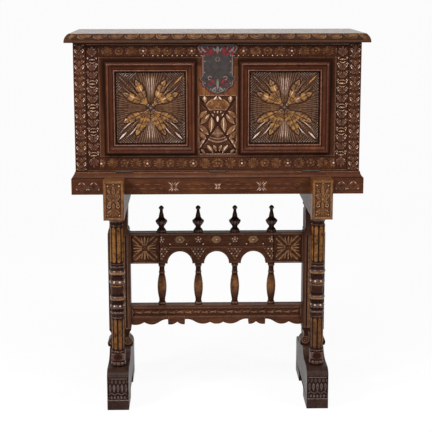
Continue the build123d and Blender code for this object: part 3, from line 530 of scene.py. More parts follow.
lockIron = oldMetal("oldLockIron", (0.014, 0.0085, 0.0085), (0.036, 0.027, 0.023), 0.5, 0.35,
                    bareAndGlint=(0.17, 0.135, 0.115))
iron = oldMetal("oldIron", (0.009, 0.006, 0.005), (0.026, 0.019, 0.015), 0.6, 0.2)
brass = oldMetal("oldBrass", (0.26, 0.16, 0.06), (0.5, 0.35, 0.15), 0.34, 1.0, spots=120.0, dent=0.0001)
redVelvet = velvetCloth("wornRedVelvet")
print("stage: finishes ready")


# The edge is a profile (inset, height) carried round three sides with mitres; foot is its lowest part. On the
# ovolo, half-round lunettes hang from the top: the distance from a lunette's centre sets a raised band and a
# lobe.
topBoard = {
    "lunettePitch": 55.0, "lunetteRadius": 25.0, "lunetteRise": 30.0, "ground": 0.3, "cut": 1.9,
    "plainEnd": 22.0, "edgeHeight": 6.0, "inset": 15.2, "swell": 3.0, "cell": 1.25, "mortiseGap": 1.0,
    "boltTravel": 8.0, "foot": ((1.2, 0.0), (0.3, 0.4), (0.0, 1.2), (0.0, 5.3), (0.5, 6.0))}


# along in mm from a joint between two lunettes, up from 0 at the foot of the ovolo to 1 at its top.
def lunettes(along, up, spec):
    pitch, radius, rise = spec["lunettePitch"], spec["lunetteRadius"], (1 - up) * spec["lunetteRise"]
    ring = np.hypot(repeatOffset(along, pitch, pitch / 2), rise * 1.12)
    corner = ridge(np.hypot(repeatOffset(along, pitch), (rise - 19) * 0.9), 4.4)
    return highest(ridge(ring - radius * 0.92, 3.2), 0.75 * smooth(0.84 * radius, 0.7 * radius, ring),
                   0.4 * corner, spec["ground"])


def makeTopBoard(spec):
    low, high = boxOf("top_board")
    edge, full, width = spec["edgeHeight"], high[2] - low[2], spec["inset"]
    share = np.linspace(0, 1, 26)
    swell = 4 * spec["swell"] * share * (1 - share) / hypot(width, full - edge)
    footIn, footUp = np.array(spec["foot"]).T
    inset = np.concatenate([footIn, np.maximum(width * share - swell * (full - edge), 0)[1:], [width + 1.2]])
    rise = np.concatenate([footUp, np.minimum(edge + (full - edge) * share + swell * width, full - 0.4)[1:],
                           [full]])
    up = np.clip((rise - edge) / (full - edge), 0, 1)
    onOvolo = smooth(0.03, 0.1, up) * smooth(1.0, 0.93, up)
    outward = np.stack([-np.gradient(rise), np.gradient(inset)])
    outward = outward / np.hypot(*outward)          # across the profile, in inset and height

    # One side, with lunettes counted from a share of its length: positions from 0 to 1 and the cut there.
    def run(length, centre):
        share = np.linspace(0, 1, int(length / spec["cell"]))
        fromEnd = (1 - share if centre == 0 else np.minimum(share, 1 - share)) * length
        cut = (1 - lunettes((share[:, None] - centre) * length, up, spec)) * spec["cut"] * onOvolo
        return share, cut * smooth(spec["plainEnd"] - 8, spec["plainEnd"] + 8, fromEnd)[:, None]

    sideShare, sideCut = run(high[1] - low[1], 0.0)
    frontShare, frontCut = run(high[0] - low[0], 0.5)
    cut = np.concatenate([sideCut, frontCut[1:-1], sideCut[::-1]])
    ahead = np.concatenate([sideShare, 0 * frontShare[1:-1] + 1, sideShare[::-1]])[:, None]
    across = np.concatenate([0 * sideShare, frontShare[1:-1], 0 * sideShare + 1])[:, None]
    push = inset - cut * outward[0]
    xs = low[0] + push + across * (high[0] - low[0] - 2 * push)
    ys = high[1] + ahead * (low[1] + push - high[1])
    count, tall = cut.shape
    grid = numbered(count, tall)
    # the underside in three parts round the mortise of the bolt, then its four walls and its end
    boltLow, boltHigh = boxOf("lock_bolt")
    (x, back), front = boltHigh[:2] + spec["mortiseGap"], boltLow[1] - spec["mortiseGap"]
    mortise = [(*corner, z) for z in (low[2], boltHigh[2] + spec["boltTravel"] + 1.0)
               for corner in ((-x, front), (x, front), (x, back), (-x, back))]
    a, b, c, d, aTop, bTop, cTop, dTop = range(cut.size, cut.size + 8)
    under, half = list(grid[:, 0]), count // 2
    caps = [list(grid[:, -1]), list(grid[0, :]) + list(grid[-1, ::-1]), [d, a] + under[half::-1],
            [a, b, c] + under[:half - 1:-1], [c, d, under[0], under[-1]], [b, a, aTop, bTop],
            [a, d, dTop, aTop], [d, c, cTop, dTop], [c, b, bTop, cTop], [bTop, aTop, dTop, cTop]]
    golden = onOvolo * (cut > 0) * smooth(0.7, 0.4, cut / spec["cut"]) * smooth(-0.3, 0.9, up)
    bend, tone = np.minimum(edgeMask(-cut, 7), 0.56), np.clip(1 - cut / spec["cut"], 0, 1)
    # a strip of painted shade along the top of the ovolo, under the front edge of the top
    bend[:, up > 0.93], tone[:, up > 0.93] = 0.35, 0.2
    bend[:, -1], tone[:, -1] = 0.72, 1.0
    carve = np.concatenate([rowsOf(tone, bend, golden), np.tile([0.5, 0.3, 0.0], (8, 1))])
    points = np.concatenate([rowsOf(xs, ys, low[2] + rise - cut * outward[1]), mortise])
    finishPiece(putMesh("top_board_carved", points, gridQuads(grid), caps, carve), topWood, "top_board")


makeTopBoard(topBoard)
print("stage: top board")


# A garland that repeats up the pilaster: a husk over a bud, pairs of leaves and beads, on a ribbed ground.
pilaster = {
    "unit": 56.66, "cut": 3.2, "border": 2.6, "cell": 0.95, "husk": (-3.0, 0, 0, 25, 6.0, 1.2, 0.35),
    "wide": (-14, 1.0, 38, 28, 8.4, 0.9, 0.35, 3, 0.6), "small": (-24, 1.0, 58, 19, 7.0, 0.9, 0.3),
    "curl": (8, 4.0, 30, 21, 6.0, 0.9, 0.3), "beadPitch": 18.89, "beadPlace": 15.4, "ribPitch": 9.4}


def pilasterRelief(u, v, spec, low, high):
    x = u - (low[0] + high[0]) / 2
    side, q = np.abs(x), repeatOffset(v, spec["unit"], low[2] + spec["unit"] / 2)
    field = (high[0] - low[0]) / 2 - spec["border"]
    husk, wide = leaf(q, x, *spec["husk"]), leaf(q, side, *spec["wide"])
    bud = dome(x, q * 0.8, 0, -8.5, 5.2)
    beads = dome(side, repeatOffset(q, spec["beadPitch"]), spec["beadPlace"], 0, 3.1)
    motif = highest(husk, bud, wide, 0.9 * leaf(q, side, *spec["small"]), 0.8 * leaf(q, side, *spec["curl"]),
                    0.95 * beads, smooth(field - 0.9, field + 0.3, side),
                    0.35 + 0.12 * wave(q - 1.1 * side, spec["ribPitch"]))
    gilt = np.where(np.maximum(husk, bud) > 0.1, 0.5, 0.05) * (side < field)
    # painted highlights on the outer parts of the wide leaves and on the beads
    shine = 0.45 * smooth(7, 13, side) * smooth(0.55, 0.95, wide) + 0.3 * smooth(0.6, 1, beads)
    return -spec["cut"] * (1 - motif) - edgesOf(u, v, low, high), gilt, shine


for side in ("left", "right"):
    boxBoard(f"pilaster_{side}", pilaster, pilasterRelief, boardZ)
print("stage: pilasters")


# Uprights: leaves in pairs with beads at their tips, ovals of rings, and a palmette in each corner. Rails:
# rosettes, whose first place and pitch are given. The pattern runs on over the joints.
fall = {
    "bandOuter": 458.0, "bandInner": 414.0, "cut": 3.2, "cell": 1.1, "crossPitch": 84.0, "crossPlace": 1270.3,
    "leafPitch": 28.0, "topBand": (1279.5, 1321.0), "bottomBand": (882.5, 930.0), "topRoses": (426.0, 84.0),
    "bottomRoses": (410.0, 81.0), "roseRadius": 18.0, "beadReach": 260.0, "latticeHalf": 64.0,
    "latticeLow": 940.6, "latticeHigh": 1144.0, "crossing": 1045.0}
fallFrontY = boxOf("fall_stile_left")[0][1]
hingeJoint = [joint for joint in frame["joints"] if joint["name"] == "fall_hinge"][0]
hinge = {
    "axis": np.array(hingeJoint["pos_m"]) * 1000, "places": (-330.0, 0.0, 330.0), "halfLength": 30.4,
    "room": 3.5}
keyhole = {"z": 1272.6, "radius": 3.0, "drop": 9.0, "deep": 8.0}


# x is the distance from the fall's middle. Returns motif, gilding, the painted highlight on the leaf tips and
# in the middle of the ovals, and where the band is.
def uprightBand(x, v, spec):
    pitch, side = spec["leafPitch"], x - (spec["bandOuter"] + spec["bandInner"]) / 2
    across, q = np.abs(side), repeatOffset(v, spec["crossPitch"], spec["crossPlace"])
    step = repeatOffset(v, pitch, spec["crossPlace"] + 6)
    steps = (step - pitch, step, step + pitch)
    leaves = highest(*[leaf(one, across, -17, 0.5, 33, 35, 7.4, 1.1, 0.75, 3, 0.5) for one in steps])
    inner = highest(*[leaf(one, across, -14, 0.3, 14, 24, 3.2, 1.0, 0.3) for one in steps])
    beads = dome(across, repeatOffset(step, pitch, 6), 18.5, 0, 3.0)
    motif = highest(leaves, 0.8 * inner, 0.9 * beads, 0.24 + 0.1 * wave(across + v, 7.0))
    around = np.hypot(side / 13.5, q / 13.0)        # 1 on the rim of an oval
    ringed = 0.5 + 0.5 * wave(np.abs(q) + 0.022 * side ** 2, 12.8)
    onOval = smooth(1.1, 0.95, around)
    motif = motif * (1 - onOval) + ringed * onOval
    gilt = 0.95 * smooth(1.2, 1.0, around)
    shine = 0.34 * smooth(9, 15, across) * smooth(0.5, 0.9, leaves) * (1 - onOval)
    shine = shine * (0.6 + 0.4 * np.cos(v / 13.4)) + 0.3 * smooth(0.2, 0.06, around)
    for (low, high), fromRoot in ((spec["topBand"], v - spec["topBand"][0] - 3),
                                  (spec["bottomBand"], spec["bottomBand"][1] - 3 - v)):
        palmette = highest(*[leaf(fromRoot, side, 0, 0, turn, 37 - abs(turn) / 4, 5.4, 1.25, 0.5)
                             for turn in (-42, -21, 0, 21, 42)], dome(side, fromRoot, 0, 2, 5), 0.3)
        inCorner = within(v, low - 1, high + 1)
        motif, gilt, shine = np.where(inCorner, palmette, motif), gilt * ~inCorner, shine * ~inCorner
    return motif, gilt, shine, across < (spec["bandOuter"] - spec["bandInner"]) / 2


# Rosettes of five petals along a rail, sprays of leaves between them and, in the top rail's middle, beads
# below; painted highlights on the beads and the even rosettes, and painted shade along the band's rims.
def railBand(x, v, band, start, pitch, spec):
    half, w = (band[1] - band[0]) / 2, v - (band[0] + band[1]) / 2
    number = np.round((np.abs(x) - start) / pitch)
    across = np.abs(x) - start - number * pitch
    off, distance = np.abs(w), np.hypot(across, w)
    rose = highest(rosette(across, w, spec["roseRadius"], 5, 90), 0.55 * smooth(16, 13, distance))
    sprays = fan(np.abs(pitch / 2 - np.abs(across)), off, 0, -1, (0, 33, 66, 90), 21, 5.5, 1.0, 0.3)
    beads = dome(repeatOffset(across, pitch / 5), w, 0, 4.5 - half, 3.6)
    beads = beads * (np.abs(x) < spec["beadReach"]) * (v > spec["crossing"])
    motif = highest(np.where(distance < spec["roseRadius"], 0.15 + rose, 0.9 * sprays), beads,
                    0.42 + 0.1 * wave(across + 0.6 * w, 9.0))
    even = number % 2 == 0
    gold = np.where(even, 0.3, 0.7) * (rose > 0.25) + 0.7 * (sprays > 0.35)
    shine = 0.5 * smooth(0.6, 1.0, beads) * (np.cos(x / 11.0) > -0.3) + 0.42 * smooth(0.62, 0.95, rose) * even
    rim = smooth(half - 3, half - 1, off)
    return np.where(off > half - 1.2, 0.5, motif), np.clip(gold, 0, 1), shine * (1 - rim) - 0.25 * rim


# Crossed grooves on the middle of the fall. Above them a fluted shell over a drop, below a small pyramid over
# curved sills, and at the sides leaves that lean in from the edge. A stroke is (from x, from z, to x, to z,
# width); the last ones are raised and carry painted highlights, as does the pyramid.
lattice = {
    "lean": (0.819, 0.574), "groove": 5.0, "shellAt": 46.0, "shellRadius": 50.0, "shellTurn": 22.5,
    "above": ((46, 99, 43, 76, 9.5), (62, 84, 60, 50, 7.5), (22, 36, 15, 26, 5.0), (0, 47, 0, 38, 5.0)),
    "beside": ((30, 34, 60, 0, 11.0), (38, 46, 68, 20, 10.0), (20, 24, 24, -30, 12.0),
        (68, -2, 32, -38, 12.0), (68, -26, 40, -54, 10.0), (46, -54, 60, -80, 9.0), (63, -62, 62, -100, 8.0)),
    "below": ((36, -74, 16, -102, 8.5), (60, -88, 44, -104, 6.0), (14, -74, 5, -96, 7.0)),
    "bareAndGlint": ((3, 98, 14, 84, 4.4), (0, 30, 1, 8, 5.5), (46, 98, 45, 84, 5.0), (20, 20, 22, -24, 3.6),
        (62, -12, 50, -26, 2.6), (34, 30, 44, 18, 2.6), (34, -76, 20, -94, 3.4), (57, -70, 61, -82, 2.6),
        (48, -58, 54, -69, 2.8), (13, 46, 9, 40, 2.6))}


def latticeBoard(x, z, spec):
    lean = x * spec["lean"][0] - np.abs(z) * spec["lean"][1]
    up = z - spec["shellAt"]
    reach, angle = np.hypot(x, up), np.degrees(np.arctan2(up, x + 1e-6))
    flutes = np.abs(np.cos(pi * (90 - angle) / 2 / spec["shellTurn"])) ** 0.7
    shell = (0.6 + 0.4 * flutes) * smooth(spec["shellRadius"], spec["shellRadius"] - 6, reach) * (up > 3)
    above = highest(0.9 * shell * smooth(8, 16, reach), 0.75 * ridge(z - 52, 4.0) * (x < 22),
                    strokes(x, z, spec["above"]))
    pyramid = np.clip(1 - (np.abs(z + 33) + 0.9 * x) / 26, 0, 1) ** 0.7
    sills = highest(ridge(z + 63 - 0.010 * x ** 2, 4.5), 0.8 * ridge(z + 52 - 0.008 * x ** 2, 3.5)) * (x < 34)
    below = highest(0.9 * pyramid, 0.85 * sills, strokes(x, z, spec["below"]))
    upper, lower = (z > 0) & (lean < 0), (z < 0) & (lean < 0)
    motif = np.where(upper, above, np.where(lower, below, strokes(x, z, spec["beside"])))
    bareAndGlint = strokes(x, z, spec["bareAndGlint"])
    motif = highest(0.25 + 0.75 * motif, bareAndGlint, 0.4 + 0.1 * wave(x - np.abs(z), 9.0))
    motif = motif * (1 - 0.85 * groove(lean, spec["groove"]))
    gold = np.where(lower & (z > -68), 0.1, 0.9) * smooth(0.25, 0.6, motif)
    return motif, gold, 0.6 * smooth(0.5, 0.95, bareAndGlint) + 0.2 * pyramid


# The whole carved face of the fall as one pattern, with the arris of one board and painted shade round the
# mouldings, wider towards the top.
def fallRelief(u, v, spec, low, high):
    x = np.abs(u)
    motif, gilt, shine, onBand = uprightBand(x, v, spec)
    carved = onBand & within(v, spec["bottomBand"][0], spec["topBand"][1])
    face = [np.where(carved, motif, 1.0), gilt * carved, shine * carved]
    onLattice = (x < spec["latticeHalf"]) & within(v, spec["latticeLow"], spec["latticeHigh"])
    zones = [((x < spec["bandInner"]) & within(v, *band), railBand(u, v, band, *roses, spec))
             for band, roses in ((spec["topBand"], spec["topRoses"]),
                                 (spec["bottomBand"], spec["bottomRoses"]))]
    for zone, fields in zones + [(onLattice, latticeBoard(x, v - spec["crossing"], lattice))]:
        face = [np.where(zone, one, other) for one, other in zip(fields, face)]
    mouldLow, mouldHigh = boxOf("panel_moulding_right")
    middle, half = (mouldLow + mouldHigh) / 2, (mouldHigh - mouldLow) / 2
    beside = np.maximum(np.abs(x - middle[0]) - half[0], np.abs(v - middle[2]) - half[2])
    paintedShadeNearMoulding = bell(beside, 4 + 11 * smooth(1040, 1180, v)) * (beside > 0) * ~carved * ~onLattice
    deep = np.where(onLattice, 1.5, 1.0) * spec["cut"]
    height = cutKnuckles(-deep * (1 - face[0]) - edgesOf(u, v, low, high), u, v)
    return cutKeyhole(height, u, v), face[1], face[2] - 0.42 * paintedShadeNearMoulding * (x > spec["latticeHalf"] + 6)


# Room for the barrels of the hinges: a hollow round their axis.
def cutKnuckles(height, u, v):
    axisY, axisZ = hinge["axis"][1:]
    near = np.min([np.abs(u - place) for place in hinge["places"]], axis=0) < hinge["halfLength"]
    reach = np.sqrt(np.clip(hinge["room"] ** 2 - (v - axisZ) ** 2, 0, None))
    return np.where(near & (reach > 0), np.minimum(height, fallFrontY - axisY - reach), height)


def cutKeyhole(height, u, v):
    top, radius = keyhole["z"], keyhole["radius"]
    slot = (np.abs(u) < radius / 2) & within(v, top - keyhole["drop"], top)
    return np.where((np.hypot(u, v - top) < radius) | slot, -keyhole["deep"], height)


# The back of the centre stile, whose wood is lighter, is waxed darker.
def waxedBack(u, v):
    return 0 * u, 0 * u, 0 * u - 0.22


def makeFallFrame(spec):
    for side in ("left", "right"):
        boxBoard(f"fall_stile_{side}", spec, fallRelief, boardZ, "fall_front", depth=3.2)
    # the lock is let into the back of the top rail
    low, high = boxOf("fall_top_rail")
    caseLow, caseHigh = boxOf("lock_case")
    edges = [side * (caseHigh[0] + nudge) for side in (-1, 1) for nudge in (0.0, 0.05)]

    def pocket(u, v):
        inside = (np.abs(u) <= caseHigh[0] + 0.01) & (v > caseLow[2] - 0.02)
        return np.where(inside, caseLow[1] - caseHigh[1], 0.0), 0 * u

    boxBoard("fall_top_rail", spec, fallRelief, boardX, "fall_front", depth=3.2, backRelief=pocket,
             backRows=np.array([low[2], caseLow[2] - 0.05, caseLow[2], high[2]]),
             columns=np.union1d(spaced(low[0], high[0], spec["cell"]), edges))
    boxBoard("fall_bottom_rail", spec, fallRelief, boardX, "fall_front", depth=3.2)
    boxBoard("fall_centre_stile", spec, fallRelief, latticeWood, "fall_front", depth=3.2,
             backRelief=waxedBack)


makeFallFrame(fall)
print("stage: frame of the fall")


# Section (run, proud) from the outer edge inwards, carried round the panel with mitres: an ovolo with a
# quirk, a flat, a hollow and a bead. Each section point makes one rectangle, run inside the outer edge.
moulding = {
    "ovolo": 10.0, "flat": 5.0, "edge": 7.0, "bead": 6.0, "beadInset": 1.3, "beadFoot": 7.5, "beadRise": 2.2,
    "width": 36.3, "lap": 18.2, "step": 9.0}


def mouldingSection(spec, proud, setback):
    width, lap, foot = spec["width"], spec["lap"], spec["beadFoot"]
    quarter, share, around = np.linspace(0, pi / 2, 9), np.linspace(0, 1, 10), np.linspace(pi, 0, 9)
    flatRun = spec["ovolo"] + np.array([0.2, 0.8, spec["flat"] - 0.6, spec["flat"]])
    beadStart, radius = width - spec["beadInset"] - spec["bead"], spec["bead"] / 2
    hollowRun = flatRun[-1] + share * (beadStart - flatRun[-1])
    hollowRise = proud - 0.8 - (proud - 0.8 - foot) * np.sin(share * pi / 2) ** 0.8
    run = np.concatenate([[0.0, 0.0, 0.0], spec["ovolo"] * (1 - np.cos(quarter))[1:], flatRun, hollowRun[1:],
                          (beadStart + radius + radius * np.cos(around))[1:], [width, width, lap, lap]])
    rise = np.concatenate([[0.0, spec["edge"] - 1.0, spec["edge"]],
                           (spec["edge"] + (proud - 1.2 - spec["edge"]) * np.sin(quarter))[1:],
                           [proud - 0.3, proud, proud, proud - 0.6], hollowRise[1:],
                           (foot + spec["beadRise"] * np.sin(around))[1:],
                           [foot - 2.5, -setback, -setback, 0.0]])
    return run, rise


def makePanelMoulding(node, spec):
    low, high = boxOf(node)
    run, rise = mouldingSection(spec, fallFrontY - low[1], high[1] - fallFrontY)
    turns = np.linspace(0, 1, int((high[2] - low[2]) / spec["step"]))
    corner = np.array([(-1, -1), (1, -1), (1, 1), (-1, 1)])
    path = np.concatenate([corner[k] + turns[:-1, None] * (corner[(k + 1) % 4] - corner[k])
                           for k in range(4)])
    middle, half = (low + high) / 2, (high - low) / 2
    points = rowsOf(middle[0] + path[:, :1] * (half[0] - run), fallFrontY - rise,
                    middle[2] + path[:, 1:] * (half[2] - run))
    beadAt = spec["width"] - spec["beadInset"] - spec["bead"] / 2
    # painted shade on the outer face and in the quirks, and painted highlights along the bead and the ovolo
    paintedShadeLines = highest(*[bell(run - place, reach) for place, reach in
                       ((0.0, 7.5), (spec["ovolo"] + spec["flat"], 1.6), (spec["width"], 1.2),
                        (beadAt - spec["bead"] / 2 - 0.6, 1.8))])
    bend = 0.5 + 0.38 * bell(run - beadAt, 2.2) + 0.24 * bell(run - spec["ovolo"] - 1, 4.0)
    carve = rowsOf(0.9 - 0.6 * paintedShadeLines + 0 * path[:, :1], np.clip(bend - 0.45 * paintedShadeLines, 0, 1), 0)
    quads = gridQuads(numbered(len(path), len(run)), True, True)
    finishPiece(putMesh(f"{node}_shaped", points, quads, [], carve), mouldingWood, node, "fall_front")


for side in ("left", "right"):
    makePanelMoulding(f"panel_moulding_{side}", moulding)
print("stage: panel mouldings")


# A sunburst: notched leaves either side of each diagonal with a spear between them, tulips left and right,
# gouges that radiate over the field, finer in the fans up, down, left and right, and straight flutes across
# the corners.
panel = {
    "cell": 1.15, "fieldHalf": (122.4, 126.4), "rise": 4.0, "leafStart": 12.0, "leafLength": 94.0,
    "leafHalf": 16.0, "leafTurn": 20.0, "rayTurn": 6.0, "rayCut": 1.3, "flutePitch": 6.6,
    "spear": (36.0, 170.0), "tip": (119.0, 159.0)}


def panelRelief(u, v, spec, low, high):
    x, z = u - (low[0] + high[0]) / 2, v - (low[2] + high[2]) / 2
    a, b = np.abs(x), np.abs(z)
    distance = np.hypot(a, b) + 1e-6
    angle = np.degrees(np.arctan2(b, a))            # 0 along the middle line, 90 up and down
    inside = np.minimum(spec["fieldHalf"][0] - a, spec["fieldHalf"][1] - b)
    out, off = (a + b) / np.sqrt(2), (a - b) / np.sqrt(2)
    finer = smooth(68, 74, angle) + smooth(22, 16, angle) > 0.5
    rays = arches((angle - 45) * (1 + 0.5 * finer), spec["rayTurn"]) ** 0.8
    scales = arches(distance + 5 * rays, 17.0) ** 0.6
    field = 0.9 + spec["rayCut"] * rays * smooth(10, 34, distance)
    field = field - 0.5 * (1 - scales) * (angle < 45) * smooth(40, 60, distance)
    flutes = arches(out, spec["flutePitch"]) ** 0.7
    inCorner = smooth(112, 122, out) * smooth(7, 10, np.abs(off))
    field = field * (1 - inCorner) + (0.8 + 1.9 * flutes) * inCorner
    start, length, half = spec["leafStart"], spec["leafLength"], spec["leafHalf"]
    turns = (45 + spec["leafTurn"], 45 - spec["leafTurn"])
    pair = fan(a, b, start, start, turns, length, half, 1.2, 0.35, 4, 0.55)
    moat = fan(a, b, start, start, turns, length + 6, half + 5, 1.2, 0)
    inner = leaf(a, b, 3, 3, 45, 64, 8.5, 0.9, 0.4, 5, 0.7)
    tulip = leaf(-z, a, 8, 3.0, 20, 66, 15.0, 1.0, 0.2, 5, 0.6)
    share = np.clip((out - spec["spear"][0]) / np.ptp(spec["spear"]), 0, 1)
    spear = ridge(off, 4.5 * np.sin(pi * share) + 0.1) * within(out, *spec["spear"])
    spear = spear * (0.7 + 0.3 * arches(out, 9.0))
    bound = ridge(np.abs(off) - 15.0 * np.sin(pi * share ** 1.2) ** 0.8, 3.0)
    bound = bound * smooth(0.2, 0.3, share) * smooth(0.85, 0.7, share)
    tip = leaf(out, off, spec["tip"][0], 0, 0, np.ptp(spec["tip"]), 4.2, 1.0, 0.0)
    boss = np.clip(1 - (a / 12 + b / 14), 0, 1)
    height = highest(field - 1.1 * smooth(0.0, 0.3, moat), 0.2 + 3.9 * pair, 0.8 + 3.0 * inner,
                     0.4 + 3.2 * tulip, 0.4 + 2.6 * spear, 0.4 + 2.8 * bound,
                     0.6 + np.where(z < 0, 3.4, 1.6) * tip, 1.0 + 3.2 * boss)
    rim = smooth(1.0, 5.0, inside)
    height = np.where(inside > 0, np.minimum(height, spec["rise"]) * rim + 0.3 * (1 - rim), 0.0)
    crest = highest(smooth(0.15, 0.85, pair), smooth(0.2, 0.9, inner), 0.75 * smooth(0.1, 0.8, tulip))
    crest = crest * (0.62 + 0.38 * np.cos(distance / 5.2 + x / 23.0 + 2 * np.sin(z / 17.0)))
    glow = 0.1 + 0.1 * smooth(84, 50, distance) * smooth(80, 66, angle)
    gilt = highest(highest(crest, glow) * smooth(128, 104, distance), 0.8 * (tip > 0.1) * (z > 0) * (x > 0))
    # painted highlight streaks on the upper leaves, painted sheen in the fans up and down, painted highlight
    # on the lower bounds and painted shade on the upper ones, and painted highlights near the field's rim and
    # on the tips
    streaks = highest(*[bell(turned(a, b, start, start, turn)[1] - 1.5, 2.6) for turn in turns])
    streaks = streaks * bell(distance - 66 + 8 * np.sign(x), 11.0) * (z > 0)
    upDown = smooth(74, 84, angle) * smooth(34, 50, distance) * smooth(118, 100, distance)
    shine = 0.75 * streaks + 0.3 * upDown * (0.5 + 0.5 * rays) + bound * np.where(z < 0, 0.1, -0.15)
    shine = shine + 0.05 * smooth(20, 12, inside) * rays + 0.55 * tip * np.where(z < 0, 1.0, 0.2)
    return height - spec["rise"], gilt * smooth(12, 22, distance), shine * (inside > 4)


for side in ("left", "right"):
    boxBoard(f"carved_panel_{side}", panel, panelRelief, panelWood, "fall_front", depth=5.5, crests=1.0)
print("stage: carved panels")


# The lock plate is pierced sheet: a grid whose cells outside the outline or inside a piercing are left out,
# with its rim drawn onto the outline, then given its thickness. Lines of the outline: (below the top, or
# above the foot; half width over that of the crest or the body). Distances are positive in the metal; heights
# of piercings (x, z, angle, half length, half width) and of embossing are from the middle of the lower edge
# of the crest.
lockPlate = {
    "top": 1323.6, "halfCrest": 69.0, "halfBody": 53.0, "height": 170.0, "middle": 51.0, "cell": 1.1,
    "emboss": 0.5, "dish": 0.105,
    "crestLine": ((0, -14), (4, -5), (12, 0), (19, -2.5), (26, -8), (31, -12.5)),
    "waistLine": ((36, 1), (50, -0.5)),
    "footLine": ((70, -0.5), (62, -0.5), (57, 3), (53, 8), (50, 9.6), (47, 8), (43, 3), (38, -0.5),
        (30, -0.5), (26, -3), (21.5, -9), (18, -15), (13, -20.5), (8, -24), (4.5, -32), (3, -36), (1.2, -43)),
    "holes": ((22, 26, 68, 13.0, 9.5), (36, 17, 20, 8.5, 5.0), (50, 19, 75, 8.0, 5.5), (8, 42, 50, 5.0, 3.4),
        (59, 33, 60, 6.0, 3.6), (41, 34, 40, 8.0, 5.0), (28, 43.5, 10, 6.0, 3.0), (5.5, 22, 80, 7.0, 2.6),
        (18, -76, 65, 12.0, 5.6), (29, -86, 20, 8.0, 4.4), (36, -74, 100, 6.0, 2.8), (9, -94, 20, 5.5, 2.7)),
    "curls": ((50, 16, 5.5, 1.7), (30, 40, 5.0, 1.6), (27, -66, 6.0, 1.6), (12, -108, 5.5, 1.6)),
    "rivets": ((61, 12), (45, -8), (46, -46), (44, -84), (10, 45), (24, -104))}
velvet = {"margin": 3.0, "cell": 1.6, "puff": 0.25}


# Half width of the plate at a height, through the turning points of its outline.
def plateHalfWidth(z, spec, margin):
    top, foot = spec["top"] + margin, spec["top"] - spec["height"] - margin
    crest, body = spec["halfCrest"] + margin, spec["halfBody"] + margin
    turns = [(top - drop, crest + out) for drop, out in spec["crestLine"]]
    turns += [(top - drop, body + out) for drop, out in spec["waistLine"]]
    turns += [(foot + rise, body + out) for rise, out in spec["footLine"]] + [(foot, 0.0)]
    heights, halves = np.array(turns).T
    return np.interp(-z, -heights, halves)


# Signed distance to an ellipse turned by an angle, about right near its edge.
def ellipseOff(u, v, centreU, centreV, angle, halfLength, halfWidth):
    along, across = turned(u, v, centreU, centreV, angle)
    return (np.hypot(along / halfLength, across / halfWidth) - 1) * min(halfLength, halfWidth)


def plateMetal(u, v, spec, margin=0.0, pierced=True):
    x, z = np.abs(u), v - spec["top"] + spec["middle"]
    top, foot = spec["top"] + margin, spec["top"] - spec["height"] - margin
    inside = np.minimum((plateHalfWidth(v, spec, margin) - x) * 0.9, np.minimum(top - v, v - foot))
    if not pierced:
        return inside
    holes = [ellipseOff(x, z, *hole) for hole in spec["holes"]]
    keySlot, keyRound = np.maximum(x - 1.5, np.abs(z + 4.5) - 4.5), np.hypot(u, z) - 3.0
    return np.minimum(inside, np.min(holes + [keySlot, keyRound], axis=0))


# Embossing: a raised rim, fans and curls at the corners of the crest, a bud in its middle, a tail below, a
# boss round the keyhole, curls over the lower piercings and round rivet heads, on slightly dished metal.
def plateRelief(u, v, spec):
    x, z = np.abs(u), v - spec["top"] + spec["middle"]
    rim = ridge(plateMetal(u, v, spec, pierced=False) - 1.4, 1.5)
    bud = highest(leaf(z, u, 14, 0, 0, 32, 6.5, 1.2, 0.5), leaf(z, x, 22, 3, 40, 24, 4.5, 1.0, 0.5))
    tail = highest(leaf(-z, u, 64, 0, 0, 44, 5.0, 1.0, 0.4), leaf(-z, x, 96, 4, 50, 26, 4.5, 1.0, 0.5))
    boss = groove(np.hypot(u, z + 1.5) - 6.5, 2.6)
    rivets = highest(*[dome(x, z, place, height, 2.5) for place, height in spec["rivets"]])
    fans = fan(x, z, 50, 18, (20, 48, 76, 104, 132), 27, 4.2, 1.2, 0.5)
    raised = highest(rim, fans, rings(x, z, spec["curls"]), bud, tail, boss, 1.6 * rivets)
    return raised + spec["dish"] * np.cos(u / 9.0) * np.cos(v / 11.0)


# A sheet from a grid, thickened backwards: cells whose middle is inside are kept, and points near the rim of
# metal(u, v) move onto it.
def cutSheet(name, spec, metal, faceY, backY, relief, margin):
    cell, reach = spec["cell"], margin + 1
    columns = np.arange(-spec["halfCrest"] - reach, spec["halfCrest"] + reach + cell, cell)
    rows = np.arange(spec["top"] - spec["height"] - reach, spec["top"] + reach + cell, cell)
    u, v = np.meshgrid(columns - (columns[0] + columns[-1]) / 2, rows, indexing="ij")
    for _ in range(3):
        off = metal(u, v)
        slopeU, slopeV = (metal(u + 0.1, v) - off) / 0.1, (metal(u, v + 0.1) - off) / 0.1
        size = np.maximum(np.hypot(slopeU, slopeV), 0.3)
        move = np.where(np.abs(off) < 0.62 * cell * size, off / size ** 2, 0)
        u, v = u - move * slopeU, v - move * slopeV
    kept = metal((u[:-1, :-1] + u[1:, 1:]) / 2, (v[:-1, :-1] + v[1:, 1:]) / 2) > 0.02
    height = relief(u, v)
    used, quads = np.unique(gridQuads(numbered(*u.shape))[kept], return_inverse=True)
    # raised embossing takes the lighter colour: partly rubbed bare, partly painted highlight
    carve = rowsOf(0.8, np.clip(height / spec["emboss"], 0, 1), 0)
    sheet = putMesh(name, rowsOf(u, faceY - height, v)[used], quads, [], carve[used])
    solid = sheet.modifiers.new("sheet thickness", "SOLIDIFY")
    solid.thickness, solid.offset = (backY - faceY - 0.02) / 1000, -1
    return sheet


